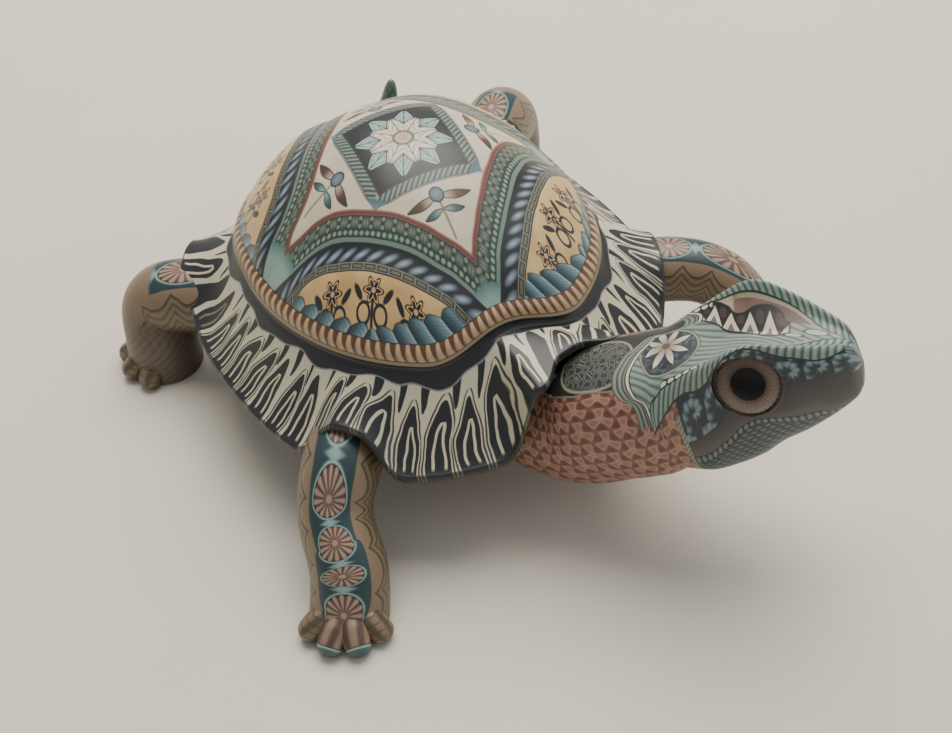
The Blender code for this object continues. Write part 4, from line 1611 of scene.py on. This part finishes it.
@dataclass(frozen=True)
class HeadSkin(Finish):
    """The inlay of neck and head."""

    head: Head = field(default_factory=Head)
    stand: Stand = field(default_factory=lambda: Stand(Vector()))
    rope_top: tuple = (
        (-19.2, 3.2), (-18.5, 2.5), (-16.5, 2.1), (-14.8, 1.85), (-10.6, 1.8), (-6.3, 1.6), (-4.0, 1.45),
        (0.0, 1.35), (5.5, 1.25), (8.8, 1.2), (11.7, 0.95), (14.8, 0.55), (17.2, 0.3), (18.5, 0.0))
    rope_foot: tuple = (
        (-19.2, 3.2), (-16.9, 3.0), (-14.0, 2.62), (-11.0, 2.45), (-6.8, 2.6), (-3.8, 2.3), (-1.9, 2.12),
        (1.2, 2.0), (4.7, 2.2), (7.7, 2.45), (11.4, 2.65), (14.4, 2.8), (17.3, 2.6), (18.8, 1.2))
    border: tuple = (
        (-12.2, -18.8), (-10.1, -19.6), (-8.9, -22.4), (-6.1, -23.7), (-2.2, -22.5), (0.8, -19.9), (3.9, -16.5),
        (5.2, -8.4), (8.0, -11.0), (12.0, -17.0))
    teeth_low: tuple = ((-8.4, 5.2), (-5.2, 3.5), (-2.1, 1.1), (1.9, 0.0), (5.7, -1.3), (8.1, -0.3))
    teeth_high: tuple = ((-7.4, 7.9), (-5.4, 7.3), (-2.6, 5.4), (-0.1, 3.4), (2.7, 4.0), (6.3, 3.8), (8.0, 1.8))
    mouth: tuple = (
        (-11.0, 4.45), (-5.0, 4.5), (-1.0, 4.38), (5.5, 4.69), (12.0, 4.81), (14.0, 5.1), (19.0, 5.3))

    def local(self, tree: bpy.types.NodeTree) -> tuple[Field, Field, Field]:
        """Read the place in the head's own axes, in millimetres.

        Args:
            tree: the material's nodes.

        Returns:
            Forward, left and up.
        """
        x, y, z = position(tree, on_body(self.head.place_shares) + self.stand.shift)
        return tuple(x * axis.x + y * axis.y + z * axis.z for axis in self.head.axes())

    def pattern(self, tree: bpy.types.NodeTree) -> tuple[Paint, Union[Field, None]]:
        """Draw neck and head.

        Args:
            tree: the material's nodes.

        Returns:
            The colour and the height.
        """
        k, run, own = flow(tree)
        _, b, c = self.local(tree)
        uneven = (grain(tree, 5.0, 1.0) - 0.5) * 2.0
        upper = own.curve(self.rope_top)
        lower = own.curve(self.rope_foot)
        ahead = own - b.curve(self.border) + uneven * 0.2
        paint = self.throat(k, run, uneven)
        self.nape(tree, paint, k, own, b, ahead, uneven)
        self.crown(tree, paint, k, own, b, ahead, upper, uneven)
        self.flower_panel(tree, paint, k, own, b, upper, ahead)
        self.cheek(paint, k, own, c, uneven)
        strands = self.brow(paint, k, own, upper, lower)
        paint.speckle()
        return paint, grain(tree, 1.8, 3.0) + strands

    def throat(self, k: Field, run: Field, uneven: Field) -> Paint:
        """Draw the interlocking three-armed figures of neck and throat.

        Args:
            k: the place round the outline.
            run: millimetres along the neck.
            uneven: a slow wander.

        Returns:
            The paint.
        """
        p = k * 5.6 + uneven * 0.25
        q = run + uneven * 0.3
        waves = None
        for turn in (0.0, 120.0, 240.0):
            c, s = math.cos(math.radians(turn)), math.sin(math.radians(turn))
            wave = ((p * c + q * s) * (math.tau / 2.2)).sin()
            cross = ((p * c + q * s + (q * c - p * s) * 0.577) * (math.tau / 4.4)).cos() * 0.35
            wave = wave + cross
            waves = wave if waves is None else waves + wave
        return ramp(waves * 0.19 + 0.5, (
            (0.18, (100, 64, 54)), (0.40, (124, 84, 72)), (0.50, (158, 118, 102)), (0.62, (174, 136, 118)),
            (0.82, (148, 108, 92))))

    def nape(
        self, tree: bpy.types.NodeTree, paint: Paint, k: Field, own: Field, b: Field, ahead: Field,
        uneven: Field,
    ) -> None:
        """Draw the dark top of the neck with its oval of pebbles, and the bands before the head's border.

        Args:
            tree: the material's nodes.
            paint: what they are laid on.
            k: the place round the outline.
            own: the head's own distance.
            b: millimetres to the head's left.
            ahead: millimetres past the head's border.
            uneven: a slow wander.
        """
        pebbles = tree.nodes.new("ShaderNodeTexVoronoi")
        pebbles.feature = "DISTANCE_TO_EDGE"
        pebbles.inputs["Scale"].default_value = 1.0 / (1.5 * MM)
        spot = tree.nodes.new("ShaderNodeTexCoord")
        tree.links.new(spot.outputs["Object"], pebbles.inputs["Vector"])
        stones = ramp(Field(tree, pebbles.outputs["Distance"]), (
            (0.03, (26, 30, 32)), (0.09, (118, 124, 114)), (0.19, (46, 52, 52))))
        top = k.below(1.3, 0.04)
        paint.lay((46, 48, 50), (k + uneven * 0.1).below(1.4, 0.05))
        paint.lay((128, 122, 104), (k + uneven * 0.1).between(1.30, 1.38, 0.02))
        oval_way = length((own + 30.0) * (1.0 / 6.5), (b + 1.0) * (1.0 / 5.5))
        paint.lay(stones, oval_way.below(1.0, 0.04) * top)
        paint.lay((150, 146, 126), abs(oval_way - 1.06).below(0.04, 0.03) * top)
        for step in (0.0, 1.0, 2.0):
            lens = length((own + 42.0 - step * 0.8) * 0.35, (b + 5.0 - step * 4.4))
            paint.lay(Tone.WARM_CREAM, lens.below(0.75, 0.12) * top * 0.8)
        bands = (ahead * (1.0 / 1.15) + uneven * 0.12).fract()
        paint.lay(ramp(bands, (
            (0.0, (50, 58, 58)), (0.3, (118, 130, 120)), (0.6, (142, 150, 136)), (0.9, (64, 74, 72)))),
            ahead.between(-3.5, 0.0, 0.15) * k.below(2.9, 0.05))

    def crown(
        self, tree: bpy.types.NodeTree, paint: Paint, k: Field, own: Field, b: Field, ahead: Field,
        upper: Field, uneven: Field,
    ) -> None:
        """Draw the crown: striated slope, brown hollow, and its row of pointed teeth.

        Args:
            tree: the material's nodes.
            paint: what they are laid on.
            k: the place round the outline.
            own: the head's own distance.
            b: millimetres to the head's left.
            ahead: millimetres past the head's border.
            upper: where the rope starts.
            uneven: a slow wander.
        """
        inside = ahead.above(0.0, 0.15) * (upper - k).above(0.0, 0.03)
        slope = ((b * 0.85 + own * 0.30 + uneven * 0.35) / 1.15).fract()
        paint.lay(ramp(slope, (
            (0.0, (66, 82, 82)), (0.25, (122, 140, 134)), (0.6, (146, 160, 150)), (0.95, (80, 98, 98)))),
            inside)
        low = own.curve(self.teeth_low)
        high = own.curve(self.teeth_high)
        past = b - high
        hollow = ramp(grain(tree, 5.0, 2.0), ((0.3, (96, 72, 64)), (0.7, (128, 102, 90))))
        hollow.lay((82, 60, 54), own.above(8.0, 4.0) * 0.6)
        paint.lay(hollow, inside * past.above(0.0, 0.1) * own.above(-2.0, 0.8))
        paint.lay((184, 168, 150), inside * past.above(0.0, 0.1) * own.between(-9.0, -1.5, 0.6))
        paint.lay((150, 148, 124), inside * own.between(-1.0, 13.0, 0.8) * (upper - k).below(0.28, 0.03))
        share = (b - low) / (high - low).most(0.6)
        tooth = abs(own.centred(3.6)) * (1.0 / 1.8)
        row = inside * share.between(0.0, 1.04, 0.03) * own.between(-8.4, 8.6, 0.2)
        paint.lay(Tone.BLACK, inside * share.between(-0.12, 1.14, 0.04) * own.between(-8.8, 9.0, 0.2))
        lens = length((own + 1.8).centred(3.6) * 0.9, (share - 0.72) * 2.6)
        paint.lay((72, 57, 53), row * lens.below(0.70, 0.08))
        paint.lay(Tone.CREAM, row * (0.94 - tooth - share).above(0.0, 0.05))
        paint.lay(Tone.BLACK, row * (0.42 - tooth - share).above(0.0, 0.04) * 0.8)
        for middle, aside, reach in ((9.6, -1.0, 1.5), (13.4, 0.3, 1.9)):
            drop = length((own - middle) * (1.0 / reach), (b - aside) * 1.7)
            paint.lay(Tone.SOFT_BLACK, inside * drop.below(1.25, 0.08))
            paint.lay((172, 178, 164), inside * drop.below(0.95, 0.1))

    def flower_panel(
        self, tree: bpy.types.NodeTree, paint: Paint, k: Field, own: Field, b: Field, upper: Field, ahead: Field,
    ) -> None:
        """Draw the dark oval with a long-petalled flower at the back of the crown, and its borders.

        Args:
            tree: the material's nodes.
            paint: what they are laid on.
            k: the place round the outline.
            own: the head's own distance.
            b: millimetres to the head's left.
            upper: where the rope starts.
            ahead: millimetres past the head's border.
        """
        way = length((own + 14.4) * (1.0 / 6.0), (b + 1.0) * (1.0 / 4.9))
        inside = way.below(1.0, 0.03) * ahead.above(0.8, 0.15)
        paint.lay((40, 46, 48), way.below(1.12, 0.03) * ahead.above(0.8, 0.15))
        paint.lay((150, 150, 132), abs(way - 1.06).below(0.035, 0.02) * ahead.above(0.8, 0.15))
        paint.lay(Tone.NAVY, inside)
        paint.lay((84, 98, 108), inside * grain(tree, 1.2, 3.0).above(0.56, 0.03) * 0.6)
        p, q = own + 14.6, b - 0.2
        radius = length(p, q)
        angle = q.math("ARCTAN2", p)
        part = ((angle * (8.0 / math.tau)).fract() - 0.5) * (math.tau / 8.0)
        girth = (radius * (math.pi / 5.2)).sin() * 0.72
        petal = (girth - abs(part) * radius) * radius.below(5.1, 0.1)
        paint.lay(Tone.BLACK, inside * petal.above(-0.12, 0.08) * radius.below(5.1, 0.1))
        paint.lay(ramp(radius * 0.2, ((0.2, (140, 134, 114)), (0.8, Tone.CREAM))),
                  inside * petal.above(0.06, 0.08))
        paint.lay(Tone.BROWN, inside * radius.below(0.8, 0.1))
        lens = length(own.centred(1.7) * 1.5, (upper - k - 0.20) * 8.0)
        strip = own.between(-15.0, -6.0, 0.3) * ahead.above(0.6, 0.1)
        paint.lay(Tone.BLACK, strip * (upper - k).between(0.0, 0.38, 0.02))
        paint.lay(Tone.CREAM, strip * lens.below(1.05, 0.12))
        edge = k.below(3.0, 0.05)
        paint.lay(Tone.BLACK, abs(ahead).below(0.62, 0.08) * edge)
        paint.lay(Tone.CREAM, abs(ahead).below(0.30, 0.08) * edge)

    def cheek(self, paint: Paint, k: Field, own: Field, c: Field, uneven: Field) -> None:
        """Draw the plumed cheek, the plain dark band, the beaded mouth and the scaled jaw.

        Args:
            paint: what they are laid on.
            k: the place round the outline.
            own: the head's own distance.
            c: millimetres up.
            uneven: a slow wander.
        """
        mouth = k - own.curve(self.mouth)
        face = own.above(-12.2, 0.25) * (k - own.curve(self.rope_foot)).above(0.0, 0.05)
        row = k * 4.3 + uneven * 0.35
        p = (own + uneven * 0.5 + (row * (1.0 / 3.9)).floor() * 2.3).centred(4.6)
        q = row.centred(3.9)
        radius = length(p, q)
        angle = q.math("ARCTAN2", p)
        curl = (angle + radius * 2.1).sin()
        barbs = (angle * 8.0 - radius * 2.4).sin()
        plume = ramp(curl * 0.36 + barbs * 0.15 + 0.50 - (radius - 1.4).most(0.0) * 0.26, (
            (0.12, (30, 40, 48)), (0.42, (46, 62, 72)), (0.60, (84, 106, 118)), (0.86, (126, 144, 150))))
        paint.lay(plume, face * mouth.below(0.0, 0.03))
        plain = k - own.curve(((-12.0, 3.9), (-6.0, 3.85), (-1.0, 3.6), (9.0, 3.56), (18.0, 3.94)))
        rise = (mouth + 1.2) * (1.0 / 1.2)
        smooth = ramp(rise, ((0.1, (42, 47, 52)), (0.6, (60, 60, 61)), (1.0, (92, 87, 84))))
        paint.lay((30, 36, 40), face * abs(plain).below(0.05, 0.03))
        paint.lay(smooth, face * plain.above(0.0, 0.04) * mouth.below(0.0, 0.03))
        jaw = face * mouth.above(0.0, 0.03)
        scale = length((own + (c * 0.9).floor() * 0.6).centred(1.7), c.centred(1.15) * 1.3)
        paint.lay(ramp(scale, ((0.1, (96, 116, 124)), (0.5, (60, 76, 84)), (0.85, (30, 38, 44)))), jaw)
        bead = length(own.centred(1.2), (mouth - 0.12) * 3.4)
        paint.lay((28, 34, 38), face * mouth.between(-0.05, 0.28, 0.03))
        paint.lay(ramp(bead, ((0.0, (120, 138, 138)), (0.6, (56, 70, 72)))), face * bead.below(0.5, 0.1))
        paint.lay((72, 76, 76), face * k.above(6.5, 0.2) * 0.8)
        rim = own.between(-12.8, -12.0, 0.15) * k.between(3.0, 5.6, 0.05)
        stria = ((k * 5.6 + own * 0.8) / 0.9).fract()
        paint.lay(ramp(stria, ((0.0, (84, 92, 84)), (0.4, (148, 158, 144)), (0.9, (104, 114, 102)))), rim)

    def brow(self, paint: Paint, k: Field, own: Field, upper: Field, lower: Field) -> Field:
        """Draw the ropes of slanted strands over the brows and down behind the cheeks.

        Args:
            paint: what they are laid on.
            k: the place round the outline.
            own: the head's own distance.
            upper: where a rope starts.
            lower: where it ends.

        Returns:
            The strands' height.
        """
        inside = (k - upper).least(lower - k)
        share = (k - upper) / (lower - upper).most(0.05)
        strand = (own * 0.78 + share * 0.9).fract()
        skin = ramp(strand, (
            (0.0, (44, 58, 56)), (0.14, (94, 114, 107)), (0.45, (144, 163, 152)), (0.8, (110, 130, 121)),
            (1.0, (50, 64, 62))))
        begun = own.above(-19.0, 0.15)
        paint.lay((38, 46, 46), inside.above(-0.09, 0.02) * begun)
        mask = inside.above(0.0, 0.02) * begun
        paint.lay(skin, mask)
        return mask * (strand * math.pi).sin() * 1.6


@dataclass(frozen=True)
class Eye:
    """A glass cabochon over a painted iris, in a thin clay ring."""

    name: str
    side: int
    diameter: float = 12.0
    dome: float = 3.4
    girdle: float = 1.4
    gap: float = 0.3
    lid: float = 0.35
    pupil: float = 2.85
    around: int = 96

    def socket(self, stand: Stand, clay: bpy.types.Material) -> bpy.types.Object:
        """Make the form that cuts the eye's socket, faced with the second slot."""
        radius = 0.5 * self.diameter + self.gap
        top, foot = 2.5 * self.dome, -self.girdle - self.gap
        profile = [(0.0, top), (radius, top), (radius, foot), (0.0, foot)]
        cutter = self.turned(f"{self.name}_cutter", profile, stand, clay)
        cutter.data.materials.append(clay)
        for face in cutter.data.polygons:
            face.material_index = 1
        return cutter

    def turned(
        self, name: str, profile: Sequence[Pair], stand: Stand, finish: bpy.types.Material,
    ) -> bpy.types.Object:
        """Turn a profile round the eye's axis.

        Args:
            name: the piece's name.
            profile: radius and height pairs, from top to bottom.
            stand: where the turtle's frame lies.
            finish: the material.

        Returns:
            The piece.
        """
        form = bmesh.new()
        edge = [form.verts.new((radius, 0.0, height)) for radius, height in profile]
        for upper, lower in zip(edge, edge[1:]):
            form.edges.new((upper, lower))
        bmesh.ops.spin(
            form, geom=form.verts[:] + form.edges[:], axis=(0, 0, 1), cent=(0, 0, 0), dvec=(0, 0, 0),
            angle=math.tau, steps=self.around, use_merge=True, use_duplicate=False)
        bmesh.ops.remove_doubles(form, verts=form.verts, dist=1e-5)
        bmesh.ops.recalc_face_normals(form, faces=form.faces)
        frame_here = Head().eye_frame(self.side)
        for point in form.verts:
            point.co = stand.place(frame_here @ point.co)
        piece = new_piece(name, form, [finish])
        piece.data.shade_smooth()
        piece.data.set_sharp_from_angle(angle=math.radians(50))
        return piece

    def build(self, stand: Stand) -> None:
        """Build glass, iris, pupil and eyelid."""
        radius = 0.5 * self.diameter
        ball = (radius ** 2 + self.dome ** 2) / (2.0 * self.dome)
        sweep = math.asin(radius / ball)
        steps = 24
        cap = [
            (ball * math.sin(sweep * i / steps), self.dome - ball + ball * math.cos(sweep * i / steps))
            for i in range(steps + 1)]
        floor = -0.35
        backing = [(0.0, floor - 0.05), (radius, floor - 0.05), (radius, -self.girdle), (0.0, -self.girdle)]
        paint = Iris(f"{self.name}_iris_paint", eye=self, stand=stand).build()
        clear = ClearGlass("clear_glass").build()
        glass = self.turned(f"{self.name}_glass", cap + [(radius, floor), (0.0, floor)], stand, clear)
        iris = self.turned(f"{self.name}_iris", backing, stand, paint)
        middle = radius + self.gap - 0.2 * self.lid
        ring = [
            (middle + self.lid * math.cos(math.tau * i / 16), -self.lid * math.sin(math.tau * i / 16))
            for i in range(17)]
        lid = self.turned(f"{self.name}_eyelid", ring, stand, Lid("dark_eyelid").build())
        for piece in (glass, iris):
            hand_over(piece, self.name)
        hand_over(lid, CLAY_NODE)


@dataclass(frozen=True)
class ClearGlass(Finish):
    """Clear polished glass."""

    roughness: float = 0.02
    coat: float = 0.0

    def pattern(self, tree: bpy.types.NodeTree) -> tuple[Paint, Union[Field, None]]:
        """Set plain see-through values."""
        shader = tree.nodes["Principled BSDF"]
        shader.inputs["Transmission Weight"].default_value = 1.0
        shader.inputs["IOR"].default_value = 1.25
        return Paint(tree, (255, 255, 255)), None


@dataclass(frozen=True)
class Lid(Finish):
    """The dark clay of eyelids and sockets."""

    def pattern(self, tree: bpy.types.NodeTree) -> tuple[Paint, Union[Field, None]]:
        """Draw a slightly uneven dark ground."""
        return ramp(grain(tree, 2.0, 2.0), ((0.3, (44, 38, 36)), (0.7, (74, 64, 58)))), None


@dataclass(frozen=True)
class Iris(Finish):
    """A taupe iris that is lighter at the rim, round a large black pupil, with painted shade that darkens its
    top and lightens its bottom.
    """

    eye: Union[Eye, None] = None
    stand: Stand = field(default_factory=lambda: Stand(Vector()))
    roughness: float = 0.9
    coat: float = 0.0

    def pattern(self, tree: bpy.types.NodeTree) -> tuple[Paint, Union[Field, None]]:
        """Draw the iris."""
        tree.nodes["Principled BSDF"].inputs["Specular IOR Level"].default_value = 0.0
        place = Head().eye_frame(self.eye.side)
        x, y, z = position(tree, place.translation + self.stand.shift)
        axes = [place.to_3x3().col[i] for i in range(3)]
        p, q = (x * axis.x + y * axis.y + z * axis.z for axis in axes[:2])
        radius = length(p, q)
        spokes = (q.math("ARCTAN2", p) * 36.0).sin() * 0.03
        paint = ramp(radius * (1.0 / 6.0) + spokes, (
            (0.50, (100, 84, 75)), (0.62, (134, 116, 103)), (0.84, (156, 138, 123)), (0.98, (92, 76, 67))))
        # Painted shade: the iris is darkened towards its top and lightened towards its bottom, as light falls
        # through the glass.
        paint.tint(1.0 + q * (self.eye.side * 0.075))
        paint.lay((8, 8, 10), radius.below(self.eye.pupil, 0.10))
        return paint, None


@dataclass(frozen=True)
class Studio:
    """A plain pale floor, soft light from above and the photograph's camera."""

    camera_place: tuple = (208.04, -108.54, 257.14)
    right: tuple = (0.5591, 0.8263, -0.0675)
    up: tuple = (-0.5917, 0.4547, 0.6657)
    forward: tuple = (-0.5808, 0.3323, -0.7431)
    lens: float = 57.38
    floor_half: float = 3.0
    air: float = 0.48

    def build(self, stand: Stand) -> None:
        """Build floor, lights and camera."""
        form = bmesh.new()
        bmesh.ops.create_grid(form, x_segments=8, y_segments=8, size=self.floor_half)
        floor = new_piece("studio_floor", form, [Paper("paper").build()])
        floor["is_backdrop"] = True
        world = bpy.data.worlds.new("studio_air")
        bpy.context.scene.world = world
        world.use_nodes = True
        sky = world.node_tree.nodes["Background"]
        sky.inputs["Color"].default_value = (*as_light((226, 226, 226)), 1.0)
        sky.inputs["Strength"].default_value = self.air
        self.lamp("overhead", (-0.29, 0.25, 0.73), 0.75, 11.2, (255, 248, 236))
        self.lamp("window", (0.50, 0.70, 0.60), 0.8, 1.6, (246, 249, 255))
        self.camera(stand)

    def lamp(self, name: str, place: tuple, size: float, power: float, colour: Colour) -> None:
        """Hang an area light that looks at the turtle.

        Args:
            name: its name.
            place: where it hangs, in metres.
            size: its side, in metres.
            power: its watts.
            colour: its light.
        """
        light = bpy.data.lights.new(name, "AREA")
        light.size = size
        light.energy = power
        light.color = as_light(colour)
        lamp = bpy.data.objects.new(name, light)
        lamp.location = place
        lamp.rotation_euler = (-Vector(place)).to_track_quat("-Z", "Y").to_euler()
        bpy.context.scene.collection.objects.link(lamp)

    def camera(self, stand: Stand) -> None:
        """Set up the camera at the photograph's view."""
        lens = bpy.data.cameras.new("photo_view")
        lens.sensor_width = 36.0
        lens.lens = self.lens
        lens.clip_start = 0.005
        view = bpy.data.objects.new("photo_view", lens)
        turn = Matrix((self.right, self.up, [-value for value in self.forward])).transposed().to_4x4()
        view.matrix_world = Matrix.Translation(stand.place(Vector(self.camera_place))) @ turn
        bpy.context.scene.collection.objects.link(view)
        bpy.context.scene.camera = view


@dataclass(frozen=True)
class Paper(Finish):
    """Pale matt paper."""

    roughness: float = 0.85
    coat: float = 0.0
    relief: float = 0.05

    def pattern(self, tree: bpy.types.NodeTree) -> tuple[Paint, Union[Field, None]]:
        """Draw a nearly even pale ground."""
        paint = ramp(grain(tree, 60.0, 2.0), ((0.3, (223, 217, 203)), (0.7, (227, 222, 209))))
        return paint, grain(tree, 1.5, 2.0)


RIGHT_FORELEG = Leg(
    "right_foreleg",
    ((0.322, -0.544, 0.977), (0.530, -0.795, 1.0), (0.644, -0.931, 0.698), (0.811, -0.996, 0.372),
     (0.894, -1.073, 0)),
    (1.05, 1.05, 0.98, 1.02, 1.05), 7.7, heading=-37.0, cells=(6.0, 17.8, 29.6, 37.3, 40.7, 50.0))
LEFT_FORELEG = Leg(
    "left_foreleg",
    ((0.322, 0.544, 1.023), (0.511, 0.941, 1.079), (0.653, 1.130, 0.940), (0.758, 1.213, 0.488),
     (0.795, 1.255, 0)),
    (1.0, 0.92, 0.86, 0.92, 1.0), 7.7, heading=47.0, cells=(0.0, 16.5, 26.5, 39.0, 48.0, 58.0))
RIGHT_HINDLEG = Leg(
    "right_hindleg",
    ((-0.455, -0.586, 0.837), (-0.682, -0.858, 0.847), (-0.777, -0.973, 0.698), (-0.744, -1.021, 0.372),
     (-0.739, -1.036, 0)),
    (1.15, 1.1, 1.08, 1.08, 1.1), 7.7, heading=-108.0, cells=(0.0, 11.0, 22.0, 33.0, 44.0), dark=22.0)
LEFT_HINDLEG = Leg(
    "left_hindleg",
    ((-0.455, 0.586, 0.977), (-0.701, 0.910, 0.977), (-0.814, 1.046, 0.791), (-0.814, 1.056, 0.372),
     (-0.795, 1.036, 0)),
    (1.15, 1.1, 1.08, 1.08, 1.1), 7.7, heading=140.0, cells=(0.0, 12.0, 25.0, 36.0, 46.0), dark=25.0)
TAIL = Tail(
    "tail",
    ((-0.682, 0.042, 0.930), (-0.909, 0.209, 0.837), (-1.070, 0.418, 0.814), (-1.155, 0.575, 0.977),
     (-1.163, 0.628, 1.340)),
    (1.1, 0.85, 0.65, 0.48, 0.2), 5.4)
EYES = (("right_eye", -1), ("left_eye", 1))


def keep_sizes(packed: object) -> None:
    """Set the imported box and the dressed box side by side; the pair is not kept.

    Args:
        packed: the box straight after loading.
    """
    {"packed": plain(packed), "dressed": plain(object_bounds())}


def plain(box: object) -> list:
    """Turn a box into lists of numbers."""
    return [[float(value) for value in corner] for corner in box]


def main() -> None:
    """Build the studio, then the turtle's clay and its eyes."""
    logging.basicConfig(level=logging.INFO, format="%(name)s: %(message)s")
    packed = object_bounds()
    stand = Stand.read()
    LOG.info("stand shift %.3f %.3f mm", stand.shift.x, stand.shift.y)
    Studio().build(stand)
    Shell().build(stand)
    Head().build(stand)
    for limb in (RIGHT_FORELEG, LEFT_FORELEG, RIGHT_HINDLEG, LEFT_HINDLEG, TAIL):
        limb.build(stand)
    for name, side in EYES:
        Eye(name, side).build(stand)
    keep_sizes(packed)


if __name__ == "__main__":
    main()
